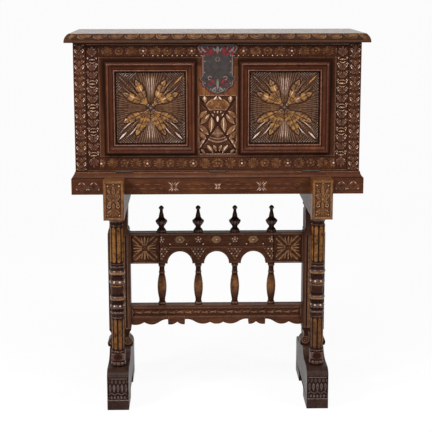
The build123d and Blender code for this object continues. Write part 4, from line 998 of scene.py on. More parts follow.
def makeLockPlate(spec):
    low, high = boxOf("lock_plate")
    plate = cutSheet("lock_plate_pierced", spec, lambda u, v: plateMetal(u, v, spec),
                     low[1] + spec["emboss"] + 0.35, high[1],
                     lambda u, v: spec["emboss"] * np.clip(plateRelief(u, v, spec), -0.5, 1.5), 0.0)
    finishPiece(plate, lockIron, "lock_plate", "fall_front")


# Velvet under the plate: a flat sheet that puffs up a little in the piercings.
def makeLockVelvet(spec, cloth):
    low, high = boxOf("lock_velvet")

    def whole(u, v):
        return plateMetal(u, v, spec, cloth["margin"], False)

    def puffed(u, v):
        return cloth["puff"] * smooth(0.0, -3.0, plateMetal(u, v, spec)) * (whole(u, v) > 2.0)

    sheet = cutSheet("lock_velvet_sheet", dict(spec, cell=cloth["cell"]), whole, low[1] + cloth["puff"],
                     high[1], puffed, cloth["margin"])
    finishPiece(sheet, redVelvet, "lock_velvet", "fall_front")


makeLockPlate(lockPlate)
makeLockVelvet(lockPlate, velvet)
print("stage: lock plate and velvet")


# Base moulding: a section of face, step and hollow carried along each side, mitred at the corners. Strokes
# cut through the dark polish of the plinth's face make diamonds, crossed leaves and rows of dashes.
base = {
    "bottom": 798.0, "faceTop": 855.0, "top": 876.5, "proud": 14.8, "step": 2.5, "run": 11.8, "hollow": 1.6,
    "cell": 1.4, "cut": 0.9, "middle": 826.5, "halfBand": 16.5, "diamonds": (480.0, 438.0),
    "diamondHalf": 21.0, "crosses": ((155.5, 1.0), (0.0, 0.6)), "dashes": ((196.0, 300.0), (20.0, 122.0)),
    "dashRows": ((7.5, 0.5), (-7.5, 1.0)),
    "diamondStrokes": ((12, 7, 2.5, 15.5, 2.8), (15, -13, 21, -6.5, 2.8)),
    "crossStrokes": ((3, 2, 20, 17, 3.0), (1, 6, 8, 17, 2.0), (3, -4, 19, -16, 2.6), (1, -7, 9, -18, 2.8),
        (4, 0, 15, 4, 1.5), (4, -1, 14, -6, 1.5))}


# Distances from the outer face (inwards) and heights, from the foot of the face to the top.
def baseSection(spec):
    step, run, top, faceTop = spec["step"], spec["run"], spec["top"], spec["faceTop"]
    face = spaced(spec["bottom"], faceTop, spec["cell"], 1.0)
    share = np.linspace(0, 1, 16)
    sag = 4 * spec["hollow"] * share * (1 - share)
    hollowIn = step + share * (run - step) + sag
    hollowUp = faceTop + step + share * (top - faceTop - step) - sag
    inward = np.concatenate([0 * face, [0.6, step - 0.3, step], hollowIn[1:-1], [run - 0.3, run + 0.5]])
    upward = np.concatenate([face, faceTop + np.array([0.1, 0.3, 1.0]), hollowUp[1:-1], [top - 0.5, top]])
    return inward, upward


# The strokes over the plinth's face, 0 to 1, at distances from its middle.
def baseMarks(x, z, spec):
    a, w = np.abs(x), z - spec["middle"]
    marks = 0 * a
    for centre in spec["diamonds"]:
        d = np.abs(a - centre)
        reach, near = d / spec["diamondHalf"] + np.abs(w) / spec["halfBand"], d < spec["diamondHalf"] + 1
        marks = highest(marks, 0.35 * ridge((reach - 0.95) * 13.5, 1.7) * near,
                        0.3 * ridge((reach - 0.55) * 13.5, 1.3) * near,
                        strokes(d, w, spec["diamondStrokes"]))
    for centre, size in spec["crosses"]:
        table = [(*[size * value for value in one[:4]], one[4]) for one in spec["crossStrokes"]]
        marks = highest(marks, strokes(np.abs(a - centre), w, table))
    for start, stop in spec["dashes"]:
        length = (stop - start) / 3
        for row, shift in spec["dashRows"]:
            dash = leaf(repeatOffset(a, length, start + shift * length), w - row, 2 - length / 2, 0, 0,
                        length - 4, 1.5, 1.0, 0.0)
            marks = highest(marks, 0.5 * dash * within(a, start, stop))
    return marks


# A closed section carried along a straight side; ends(inward) gives the two ends for each section point, and
# middle is where the marks are counted from.
def mouldedSide(name, spec, along, ends, place, depthBack, middle=0.0, notch=None):
    inward, upward = baseSection(spec)
    inward = np.concatenate([[depthBack], inward, [(depthBack + spec["run"]) / 2, depthBack]])
    upward = np.concatenate([[spec["bottom"]], upward, [spec["top"], spec["top"]]])
    start, stop = ends(inward)
    s = start + along[:, None] * (stop - start)
    face = inward < 1e-6
    marked = face & within(upward, spec["bottom"] + 3, spec["faceTop"] - 3)
    marks = baseMarks(s - middle, upward, spec) * marked
    drop = arrisDrop(np.minimum(upward - spec["bottom"], spec["faceTop"] - upward), 1.0) * face
    into, z = inward + spec["cut"] * marks + drop, upward + 0 * s
    if notch is not None:
        z = notch(s, into, z)
    grid = numbered(*s.shape)
    # the marks are pale strokes cut in the polish; a painted highlight runs along the top arris and a line of
    # painted shade over the step at the top of the face
    bend = 0.5 + 0.5 * marks + 0.28 * bell(z - spec["top"] + 1, 1.5)
    bend = bend - 0.45 * bell(z - spec["faceTop"] - 1.0, 1.6)
    return putMesh(name, rowsOf(*place(s, into, z)), gridQuads(grid, closedV=True),
                   [list(grid[0, ::-1]), list(grid[-1])], rowsOf(0.9, np.clip(bend, 0, 1), 0))


# Room for hinge leaves and barrels in the top of the front moulding, at distances from its face.
def hingeNotch(s, into, z):
    axisY, axisZ = hinge["axis"][1:]
    fromAxis = boxOf("base_moulding_front")[0][1] + into - axisY
    near = np.min([np.abs(s - place) for place in hinge["places"]], axis=0)
    barrel = axisZ - np.sqrt(np.clip(hinge["room"] ** 2 - fromAxis ** 2, 0, None))
    inBarrel = (near < hinge["halfLength"] + 0.1) & (np.abs(fromAxis) < hinge["room"] - 0.05)
    inLeaf = (near < hinge["halfLength"] - 0.3) & (fromAxis > 0) & (z > base["top"] - 1.0)
    z = np.where(inLeaf, np.minimum(z, base["top"] - 1.5), z)
    return np.where(inBarrel, np.minimum(z, barrel), z)


def makeBaseFront(node, spec):
    low, high = boxOf(node)
    edges = [place + side * hinge["halfLength"] for place in hinge["places"] for side in (-1, 1)]
    closer = [(edge + nudge + high[0]) / (2 * high[0]) for edge in edges
              for nudge in (-0.35, -0.25, 0.05, 0.15)]
    steps = np.union1d(np.linspace(0, 1, int(2 * high[0] / spec["cell"])), closer)

    def ends(inward):
        half = high[0] - spec["proud"] + np.maximum(spec["proud"] - inward, 0)
        return -half, half

    piece = mouldedSide(f"{node}_carved", spec, steps, ends, lambda s, into, z: (s, low[1] + into, z),
                        high[1] - low[1], notch=hingeNotch)
    finishPiece(piece, boardX, node)


# sign is -1 on the left and 1 on the right; positions along the left side run from the back.
def makeBaseSide(node, sign, spec):
    low, high = boxOf(node)
    front, back, outer = low[1], high[1], (high[0] if sign > 0 else low[0])

    def ends(inward):
        along = (front + inward, back + 0 * inward)
        return along if sign > 0 else (-along[1], -along[0])

    piece = mouldedSide(f"{node}_carved", spec, np.linspace(0, 1, int((back - front) / spec["cell"])), ends,
                        lambda s, into, z: (outer - sign * into, sign * s, z), spec["proud"],
                        sign * (front + back) / 2)
    finishPiece(piece, boardY, node)


makeBaseFront("base_moulding_front", base)
makeBaseSide("base_moulding_left", -1, base)
makeBaseSide("base_moulding_right", 1, base)
print("stage: base moulding")


# Heads of the lopers: a raised border round a sunk field with leaves that rise and hang from a bead, spirals
# beside them, a shell below and single beads.
loperHead = {
    "border": 9.0, "recess": 4.0, "cell": 1.05, "spirals": ((16, -20, 5.0, 1.9), (18, 14, 4.2, 1.7)),
    "shell": (30, 2, (4, 28, 52), 27, 4.6, 1.2, 0.4), "rising": (4, 0, 0, 50, 7.0, 1.1, 0.5),
    "hanging": (8, 0, 0, 26, 5.0, 1.0, 0.5),
    "risingPairs": ((2, 3, 24, 44, 5.6, 1.0, 0.6, 2), (-4, 6, 42, 30, 5.0, 1.0, 0.6)),
    "hangingPair": (-2, 4, 38, 30, 5.4, 1.0, 0.6),
    "beads": ((0, 1, 5.5), (20, 51, 3.2), (21, -53, 2.8), (0, 57, 2.6))}


def loperRelief(u, v, spec, low, high):
    middle, half, border = (low + high) / 2, (high - low) / 2, spec["border"]
    x, z = u - middle[0], v - middle[2]
    a = np.abs(x)
    inside = np.minimum(half[0] - border - a, half[2] - border - np.abs(z))
    motif = highest(leaf(z, x, *spec["rising"]), *[leaf(z, a, *one) for one in spec["risingPairs"]],
                    leaf(-z, a, *spec["hangingPair"]), leaf(-z, x, *spec["hanging"]),
                    rings(a, z, spec["spirals"]), 0.9 * fan(-z, a, *spec["shell"]),
                    *[dome(a, z, *bead) for bead in spec["beads"]], 0.3 + 0.1 * wave(a - z, 8.0))
    height = -spec["recess"] * smooth(-0.4, 1.6, inside) + 3.3 * motif * smooth(0.5, 2.0, inside)
    roll = np.cos(pi * np.clip((inside + border / 2) / (border / 2), -1, 1))
    height = height + smooth(0.5, -0.5, inside) * 0.45 * (roll - 1) - edgesOf(u, v, low, high)
    return np.minimum(height, 0), np.where(inside < 0, 0.75, 0.35 * (motif > 0.3))


for side in ("left", "right"):
    boxBoard(f"loper_head_{side}", loperHead, loperRelief, headWood, f"slide_{side}", depth=5.0)
print("stage: loper heads")


# Turned pieces: stations are a rise, a radius and the outward swell of the curve that leads there from the
# one below, as a parabola.
def turnedSection(stations, bottom, step):
    z, r = bottom, stations[0][1]
    heights, radii = [z], [r]
    for rise, radius, swell in stations:
        count = max(7 if swell else 1, int(np.ceil(max(rise, abs(radius - r)) / step)))
        share = np.arange(1, count + 1) / count
        if rise or radius != r:
            heights.extend(z + rise * share)
            radii.extend(r + (radius - r) * share + 4 * swell * share * (1 - share))
        z, r = z + rise, radius
    return np.array(heights), np.array(radii)


# The section is turned round an upright axis at each centre. carving(angle, z, r) gives the cut below the
# turned surface, its tone, its gilding, where it stays dull and, if it likes, painted glints added to the
# rubbed edge.
def turnedPiece(name, centres, stations, bottom, step, around, carving):
    z, r = turnedSection(stations, bottom, step)
    angle, height = np.meshgrid(np.linspace(0, 2 * pi, around, endpoint=False), z, indexing="ij")
    cut, tone, gilt, flat, *bareAndGlint = carving(angle, height, r + 0 * height)
    radius = r - cut
    bulge = edgeMask(np.tile(radius, (3, 1)), 8, 1.1)[around:2 * around]
    edge = np.clip(np.where(flat, 0.5, np.minimum(bulge, 0.8)) + sum(bareAndGlint), 0, 1)
    quads, caps, points = [], [], []
    for number, (x, y) in enumerate(centres):
        grid = numbered(*radius.shape, number * radius.size)
        points.append(rowsOf(x + radius * np.sin(angle), y - radius * np.cos(angle), height))
        quads.append(gridQuads(grid, closedU=True))
        caps += [list(grid[::-1, 0]), list(grid[:, -1])]
    carve = np.tile(rowsOf(tone, edge, gilt), (len(centres), 1))
    return putMesh(name, np.concatenate(points), np.concatenate(quads), caps, carve)


# Columns. Eight hollow flutes with round ends and gilded hollows above and below a group of rings with two
# rows of painted glints, a square block and a lobed foot. Lobes: bottom, top, number round the column, depth.
column = {
    "bottom": 150.0, "blockBottom": 173.0, "blockTop": 203.0, "blockHalf": 24.8, "glintRows": (470.5, 382.0),
    "flutes": ((211.0, 336.0, 0.6), (537.0, 678.0, 1.0)), "fluteCount": 8, "fluteCut": 2.3,
    "fluteShare": 0.80, "goldBands": ((454.5, 463.0), (498.5, 507.5), (401.5, 409.0)),
    "lobes": ((150.5, 173.0, 10, 2.0), (204.0, 211.0, 14, 1.4), (366.0, 388.0, 12, 1.8),
        (388.0, 398.0, 12, 1.3), (359.0, 366.0, 12, 1.2), (398.0, 402.5, 12, 1.3), (416.5, 424.0, 12, 1.3),
        (476.0, 484.0, 12, 1.3), (487.0, 495.0, 12, 1.2), (520.0, 531.0, 14, 0.9), (684.0, 692.0, 12, 1.4)),
    "stations": [(0, 22, 0), (23, 22, 5.2), (0, 24.8, 0), (30, 24.8, 0), (0, 24, 0), (8, 23.5, 2.2),
        (125, 24.8, 0), (7, 22, -0.8), (7, 23, 0), (9, 23, 2.6), (7, 22, 0), (22, 22, 5.4), (10, 22, 0),
        (4, 25.5, 0), (14, 25.5, 2.4), (3, 20.5, 0), (36, 25, -1.2), (5, 24.5, 0), (16, 24.5, 3.6),
        (5, 21, 0), (12, 20.5, -0.8), (4, 25, 0), (17, 25, 3.6), (6, 22, -0.6), (11, 23, 2.6), (6, 24.8, 0),
        (141, 24.8, 0), (6, 22, -1), (8, 25, 0), (10, 25, 2.6), (0, 26, 0), (20, 26, 0)]}


def columnCarving(angle, z, r):
    cut, tone, gilt, flat, bareAndGlint = 0 * z, 0 * z + 0.6, 0 * z, z < 0, 0 * z
    pitch, half = 2 * pi / column["fluteCount"], column["blockHalf"]
    bottom, top = column["blockBottom"], column["blockTop"]
    offset = repeatOffset(angle, pitch, pitch / 2) / (column["fluteShare"] * pitch / 2)
    for low, high, gold in column["flutes"]:
        zone = within(z, low, high)
        endRoom = np.minimum(z - low - 4, high - 4 - z) / 10.0
        hollow = np.sqrt(np.clip(1 - offset ** 2 - np.clip(1 - endRoom, 0, 2) ** 2, 0, 1))
        cut = np.where(zone, column["fluteCut"] * hollow, cut)
        tone = np.where(zone, 0.1 + 0.9 * smooth(0.2, 0.6, hollow), tone)
        gilt, flat = np.where(zone, gold * smooth(0.35, 0.7, hollow), gilt), flat | zone
    for low, high, number, depth in column["lobes"]:
        up = np.clip((z - low) / (high - low), 0, 1) * 0.9 + 0.05
        petal = np.sqrt(np.abs(np.cos(number * angle / 2)) ** 1.1) * np.sin(pi * up) ** 0.5
        zone = within(z, low, high)
        cut, tone = np.where(zone, depth * (1 - petal), cut), np.where(zone, 0.15 + 0.75 * petal, tone)
    for low, high in column["goldBands"]:
        gilt = np.where(within(z, low, high), 0.9, gilt)
    # round painted glints in two rows on the rings: they raise the edge and tone and cut nothing
    for place in column["glintRows"]:
        bead = dome(repeatOffset(angle, pi / 4, pi / 8) * half, z - place, 0, 0, 4.6)
        bareAndGlint = highest(bareAndGlint, 0.38 * smooth(0.3, 0.95, bead))
    block = within(z, bottom + 0.01, top - 0.01)
    square = half / (np.abs(np.cos(angle)) ** 14 + np.abs(np.sin(angle)) ** 14) ** (1 / 14)
    cut = np.where(block, r - square + arrisDrop(np.minimum(z - bottom, top - z), 1.5), cut)
    return cut, highest(np.where(block, 0.6, tone), bareAndGlint * 2), gilt, flat, bareAndGlint


for place in ("front", "back"):
    for side in ("left", "right"):
        node = f"column_{place}_{side}"
        centre = sum(boxOf(node))[:2] / 2
        finishPiece(turnedPiece(f"{node}_turned", [centre], column["stations"], column["bottom"], 2.2, 80,
                                columnCarving), turnedWood, node)
print("stage: columns")


# Balusters, gilded on their bellies with a painted highlight there, and finials with a gadrooned foot and
# bell.
baluster = {
    "stations": [(0, 13.2, 0), (9, 13.2, 1.2), (4, 11, 0), (10, 11.6, 0), (48, 17.1, 1.4), (48, 10.2, 1.4),
        (10, 10.2, 1.6), (12, 9.6, 0), (9, 13, -1), (11, 13, 0)], "widest": 17.2, "belly": 27.0}
finial = {
    "stations": [(0, 17.5, 0), (3, 18.8, 0.6), (9, 14, 1), (6, 9.6, -0.6), (8, 13.5, -1), (13, 22, 1),
        (6, 21, 1.2), (11, 10, -1.4), (20, 5.9, 0.6), (6, 5.6, 0), (2, 5.0, 0), (16, 1.6, 6.2)], "lobes": 10,
    "cut": 1.5, "footTop": 17.0, "bell": (26.0, 46.0)}


def makeSpindles(spec, tip):
    low, high = boxOf("balusters")
    y, widest = (low[1] + high[1]) / 2, spec["widest"]
    centres = [(x, y) for x in np.linspace(low[0] + widest, high[0] - widest, 4)]

    # the belly is gilded and painted lighter, a painted highlight
    def gildedLitBelly(angle, z, r):
        belly = bell(z - (low[2] + high[2]) / 2, spec["belly"])
        return 0 * z, 0.4 + 0.4 * belly, 0.72 * belly, z < 0

    finishPiece(turnedPiece("balusters_turned", centres, spec["stations"], low[2], 2.4, 40, gildedLitBelly),
                spindleWood, "balusters")
    bottom = boxOf("finials")[0][2]

    def gadroons(angle, z, r):
        up, lobe = z - bottom, np.abs(np.cos(tip["lobes"] * angle / 2))
        onFoot, onBell = up < tip["footTop"], within(up, *tip["bell"])
        depth = tip["cut"] * np.where(onFoot, 1 - up / 20, 1.0) * (onFoot | onBell)
        return depth * (1 - np.sqrt(lobe)), np.where(onFoot | onBell, 0.3 + 0.6 * lobe, 0.6), 0 * z, z < 0

    finishPiece(turnedPiece("finials_turned", centres, tip["stations"], bottom, 1.8, 60, gadroons),
                finialWood, "finials")


makeSpindles(baluster, finial)
print("stage: balusters and finials")


# Stretchers: boards with a shaped lower edge. The lower one's edge is parabolas through three points (x,
# height) each, from the end to the middle.
upperStretcher = {
    "archPitch": 137.2, "radius": 46.4, "cell": 1.75, "cut": 2.6, "seam": 212.5, "starPlace": 268.5,
    "rosettePitch": 68.6, "rosetteHeight": 592.0, "rosetteReach": 17.0, "beadHeight": 575.0,
    "beadPitch": 62.0, "topRule": 611.0, "lowRule": 563.0, "clusterFoot": 520.0, "clusterTop": 560.0,
    "clusterPitch": (12.6, 9.0), "starBars": ((8, 0, 0, 36, 4.5, 0.9, 0.3), (9, 6, 12, 34, 3.4, 0.9, 0.2)),
    "starBarsUp": ((8, 0, 0, 38, 4.5, 0.9, 0.3), (9, 6, 12, 34, 3.4, 0.9, 0.2))}
lowerStretcher = {
    "cell": 1.9, "cut": 1.8, "rowHeight": 312.0, "unit": 31.0, "bandHalf": (316.0, 13.2),
    "edge": [((323.2, 1), (294.1, 0), (273.1, 9)), ((273.1, 9), (248.9, 0), (219.8, 8)),
        ((219.8, 8), (200.4, 18), (184.2, 20)), ((184.2, 1), (164.8, 1), (148.7, 10)),
        ((148.7, 10), (132.5, 1), (119.6, 1)), ((119.6, 20), (100.2, 19), (80.8, 10)),
        ((80.8, 10), (54.9, 2), (24.2, 9)), ((24.2, 9), (12.9, 3), (0, 2))]}


# End squares, with d and w from their middle: flutes in bundles along the diagonals, bars between them, round
# a small diamond.
def stretcherStar(d, w, spec):
    out, off = (d + w) / np.sqrt(2), (d - w) / np.sqrt(2)
    beside = np.abs(off)
    bundle = np.abs(np.cos(pi * off / 7.5)) ** 0.8 * smooth(15, 13, beside) * smooth(6, 10, out)
    bundle = bundle * smooth(68 - 0.8 * beside, 62 - 0.8 * beside, out)
    bars = [leaf(d, w, *bar) for bar in spec["starBars"]] + [leaf(w, d, *bar) for bar in spec["starBarsUp"]]
    return highest(0.9 * bundle, *bars, np.clip(1.3 - (d + w) / 7, 0, 1), 0.1) * smooth(0.6, 2.2, beside)


def upperStretcherRelief(u, v, spec, low, high, underEdge):
    a, clusterX, clusterZ = np.abs(u), *spec["clusterPitch"]
    star = stretcherStar(np.abs(a - spec["starPlace"]), np.abs(v - (low[2] + high[2]) / 2), spec)
    # between the squares: gilded ovals and plain rosettes in turn, beads, and clusters of beads between the
    # arches
    offset, rise = repeatOffset(u, spec["rosettePitch"]), v - spec["rosetteHeight"]
    gold, onRow = np.round(u / spec["rosettePitch"]) % 2 == 0, np.abs(rise) < spec["rosetteReach"]
    rose = np.where(gold, rosette(offset / 1.35, rise, 16.0, 6, 0), rosette(offset, rise, 15.0, 5, 90))
    rose = highest(rose, 0.6 * smooth(1.05, 0.85, np.hypot(offset / 1.35, rise) / 14) * gold)
    beads = dome(repeatOffset(a, spec["beadPitch"], 50), v - spec["beadHeight"], 0, 0, 4.6)
    pillar, up = repeatOffset(u, spec["archPitch"], spec["archPitch"] / 2), v - spec["clusterFoot"]
    row = np.round(up / clusterZ)
    cluster = dome(repeatOffset(pillar, clusterX, clusterX / 2 * (row % 2)), up - clusterZ * row, 0, 0, 6.4)
    cluster = cluster * (np.abs(pillar) < 5 + 0.62 * up) * (row >= 0) * (row < 4.5) * (v < spec["clusterTop"])
    lip = 0.6 * ridge(v - underEdge(u) - 4.5, 2.0) * (v < 556)
    middle = highest(rose * onRow, beads, cluster, ridge(v - spec["topRule"], 1.6), lip, 0.42,
                     0.8 * ridge(v - spec["lowRule"], 2.6) * (a < 200))
    endZone, plain = a > spec["seam"], (v > high[2] - 8) | (a > 320)
    border = highest(ridge(v - low[2] - 5, 1.5), ridge(high[2] - 10 - v, 1.5)) * endZone
    motif = highest(np.where(endZone, star, middle), 0.8 * border, 0.22)
    sunk = np.where(plain, 0.0, spec["cut"] * (1 - motif)) + 1.2 * ridge(a - spec["seam"], 1.3)
    gilt = np.where(gold & (rose > 0.15) & ~endZone & onRow, 0.9, 0.1) + 0.5 * endZone * (star > 0.4)
    # painted highlights on the beads, on some beads of each cluster and on the rosettes, and a faint one on
    # the stars
    shine = 0.3 * smooth(0.5, 1, beads) + 0.22 * cluster * (np.cos(2.3 * row + u / 7.0) > 0.1)
    shine = shine + 0.3 * smooth(0.2, 0.6, rose) * onRow
    shine = np.where(endZone, 0.05 * smooth(0.4, 0.9, star), shine)
    edge = arrisDrop(np.minimum(high[2] - v, v - underEdge(u)))
    return -sunk - edge, np.where(plain, 0.0, gilt), np.where(plain, 0.0, shine)


def makeUpperStretcher(node, spec):
    low, high = boxOf(node)
    centres = [-spec["archPitch"], 0.0, spec["archPitch"]]

    def underEdge(x):
        return low[2] + np.max([np.sqrt(np.clip(spec["radius"] ** 2 - (x - centre) ** 2, 0, None))
                                for centre in centres], axis=0)

    turns = np.linspace(0, pi, 56)
    columns = [centre + spec["radius"] * 0.99999 * np.cos(turns) for centre in centres]
    columns = np.unique(np.round(np.concatenate([spaced(low[0], high[0], spec["cell"]), *columns]), 3))
    columns = columns[np.concatenate([[True], np.diff(columns) > 0.06])]
    shares = spaced(0.0, 1.0, spec["cell"] / (high[2] - low[2]), 0.012)
    shapedBoard(node, columns, shares, facingFront,
                lambda u, v: upperStretcherRelief(u, v, spec, low, high, underEdge), underEdge,
                lambda x: high[2] + 0 * x, stretcherWood)


# The arcs as one line of x and height over the lowest point, from the middle outwards.
def shapedEdge(arcs):
    xs, zs = [], []
    for (x0, z0), (x1, z1), (x2, z2) in reversed(arcs):
        x = np.linspace(x2, x0, 14)
        xs.append(x)
        zs.append(z0 * (x - x1) * (x - x2) / ((x0 - x1) * (x0 - x2))
                  + z1 * (x - x0) * (x - x2) / ((x1 - x0) * (x1 - x2))
                  + z2 * (x - x0) * (x - x1) / ((x2 - x0) * (x2 - x1)))
    x, z = np.concatenate(xs), np.concatenate(zs)
    return x + np.arange(len(x)) * 1e-4, z - z.min()


def makeLowerStretcher(node, spec):
    low, high = boxOf(node)
    edgeX, edgeZ = shapedEdge(spec["edge"])

    def underEdge(x):
        return low[2] + np.interp(np.abs(x), edgeX, edgeZ)

    # a row of scrolls that turn up and down between two rules
    def relief(u, v):
        unit, w = spec["unit"], v - spec["rowHeight"]
        q = repeatOffset(u, unit, unit / 2)
        flipped = w * np.where(np.round((u - unit / 2) / unit) % 2 == 0, 1.0, -1.0)
        scroll = highest(leaf(q, flipped, -15, 1.0, -8, 26, 3.6, 1.3, 0.5),
                         leaf(q, flipped, -2, -4, 20, 16, 3.0, 1.0, 0.3),
                         rings(q, flipped, ((9, -1, 3.8, 1.6),)),
                         dome(q, flipped, 9, -1, 2.0), 0.9 * dome(q, w, -14, 6, 2.0))
        rules = highest(ridge(w - 14.5, 1.3), ridge(w + 14.5, 1.3))
        band = (np.abs(u) < spec["bandHalf"][0]) & (np.abs(w) < spec["bandHalf"][1])
        sunk = np.where(band, spec["cut"] * (1 - scroll), 0.9 * rules)
        sunk = sunk + 0.8 * groove(v - underEdge(u) - 5.5, 1.4) * (np.abs(w) > 16)
        return -sunk - arrisDrop(np.minimum(high[2] - v, v - underEdge(u))), 0.12 * (scroll > 0.4) * band

    columns = np.unique(np.round(np.concatenate([spaced(low[0], high[0], spec["cell"]), edgeX[1:],
                                                 -edgeX[1:]]), 3))
    shares = spaced(0.0, 1.0, spec["cell"] / (high[2] - low[2]), 0.015)
    shapedBoard(node, columns, shares, facingFront, relief, underEdge, lambda x: high[2] + 0 * x,
                stretcherWood)


makeUpperStretcher("upper_stretcher", upperStretcher)
makeLowerStretcher("lower_stretcher", lowerStretcher)
print("stage: stretchers")


# Middle posts: the outline gives, at heights above the base, how far the sides stand out from half the width;
# reeds run up the shaft, and spirals and leaves fill its base.
post = {
    "half": 41.0, "base": 182.0, "head": 618.6, "cell": 1.7, "reeds": (8.5, 25.5), "reedHalf": 3.2,
    "reedCut": 2.4, "reedZone": (252.0, 612.0), "footTop": 250.0,
    "spirals": ((28, 203, 12.5, 3.0), (28, 203, 5.5, 2.6)),
    "outline": ((0, 3), (6, 6), (13, 7), (20, 5.5), (27, 1), (31, -3.4), (34, -6), (38, -7.3), (44, -8),
        (50, -7.4), (56, -6), (60, -3.2), (64, 0), (436.6, 0), (436.61, -3), (443, -1.8), (450, -3),
        (454, -5.6), (456.6, -8), (540, -6))}


def postHalf(z, spec):
    return spec["half"] + np.interp(z - spec["base"], *np.array(spec["outline"]).T)


def makePost(node, spec):
    low, high = boxOf(node)
    centre = (low[0] + high[0]) / 2

    def relief(u, v):
        x, half = -v - centre, postHalf(u, spec)
        a = np.abs(x)
        grooves = np.max([ridge(a - place, spec["reedHalf"]) for place in spec["reeds"]], axis=0)
        fade = smooth(0, 5, u - spec["reedZone"][0]) * smooth(0, 5, spec["reedZone"][1] - u)
        foot = highest(rings(a, u, spec["spirals"]), leaf(u, a, 186, 4, 14, 52, 7.0, 1.0, 0.5, 3),
                       leaf(u, x, 186, 0, 0, 58, 6.0, 1.0, 0.4))
        inFoot = (u < spec["footTop"]) & (a < half - 1)
        sunk = spec["reedCut"] * (grooves * fade + np.where(inFoot, 1 - foot, 0.0))
        gilt = 0.55 * smooth(0.05, 0.5, 1 - grooves) * fade * (np.abs(a - np.mean(spec["reeds"])) < 5.5)
        return -sunk - arrisDrop(half - a, 1.3), gilt

    heights = np.union1d(spaced(low[2], high[2], 3.0), np.linspace(low[2], low[2] + 70, 36))
    heights = np.union1d(heights, spec["head"] + np.array([0.0, 0.02, 4, 8, 12, 16, 20]))
    shares = spaced(0.0, 1.0, spec["cell"] / (2 * spec["half"]), 0.016)
    shapedBoard(node, heights, shares, uprightFacingFront, relief, lambda z: -centre - postHalf(z, spec),
                lambda z: -centre + postHalf(z, spec), postWood)


for side in ("left", "right"):
    makePost(f"post_{side}", post)
print("stage: posts")


# Feet: an outline in y and z carried across the foot, with a carved toe at each end.
foot = {
    "half": 223.0, "thickness": 79.0, "band": 36.0, "proud": 2.0, "toeTop": 130.0, "toeRun": 33.0,
    "seat": 150.0, "crownHalf": 46.0, "crown": 182.0, "seatHalf": 124.2, "archHalf": 85.0, "archHeight": 46.0,
    "slope": 18.0, "cell": 1.35, "cut": 2.4, "arris": 1.4, "toeHalf": 36.8, "toeZone": (38.5, 126.0)}


# The points after start on the way to end: on a straight line about step apart, or on a parabola through a
# third point, where step is their number with the start.
def lineTo(start, end, step, through=None):
    start, end = np.array(start, float), np.array(end, float)
    if through is None:
        count = max(1, int(round(np.hypot(*(end - start)) / step)))
        return start + np.arange(1, count + 1)[:, None] / count * (end - start)
    share = np.linspace(0, 1, step)[1:, None]
    bulge = np.array(through, float) - (start + end) / 2
    return start + share * (end - start) + 4 * share * (1 - share) * bulge


# The outline from the middle of the arch, out to the toe and back over the top to the middle, then its
# mirror.
def footOutline(spec):
    half, band, toe, arch = (spec[key] for key in ("half", "band", "toeTop", "archHalf"))
    height, seat, seatHalf = (spec[key] for key in ("archHeight", "seat", "seatHalf"))
    crown, crownHalf = spec["crown"], spec["crownHalf"]
    inset, slope = half - spec["proud"], arch - spec["slope"]
    shoulder = inset - spec["toeRun"]
    path = ((slope, height, 12, None), (arch, 0, 12, (arch - 4, height - 12)), (half - 1.2, 0, 12, None),
            (half, 1.2, 4, (half - 0.35, 0.35)), (half, band - 0.8, 4, None),
            (inset, band + 1.6, 5, (half - 0.4, band)), (inset, toe - 1, spec["cell"], None),
            (shoulder, seat, 26, (inset - spec["toeRun"] / 2 + 3, toe + 13)), (seatHalf, seat, 6, None),
            (crownHalf, crown, 20, (crownHalf + 30, seat + 8)), (0, crown, 12, None))
    points = [np.array([[0.0, height]])]
    for y, z, step, through in path:
        points.append(lineTo(points[-1][-1], (y, z), step, through))
    one = np.concatenate(points)
    return np.concatenate([one, one[-2:0:-1] * [-1, 1]])


# Toe carving, upwards: short leaves over the band, a wavy rule, tongues, pointed beads and two rules.
def toeMotif(x, z):
    rule = ridge(z - 60 - 3 * wave(x, 24.0), 2.6)
    tongues = leaf(z, repeatOffset(x, 14.4), 65, 0, 0, 32, 7.0, 1.3, 0.3)
    return highest(leaf(z, repeatOffset(x, 12.0), 40, 0, 0, 13, 5.2, 1.0, 0.2), 0.7 * rule, tongues,
                   0.8 * leaf(z, repeatOffset(x, 14.4, 7.2), 98, 0, 0, 17, 6.0, 1.0, 0.3),
                   ridge(z - 118, 2.4), 0.8 * ridge(z - 123.5, 1.6), 0.15) * (np.abs(x) < 34)


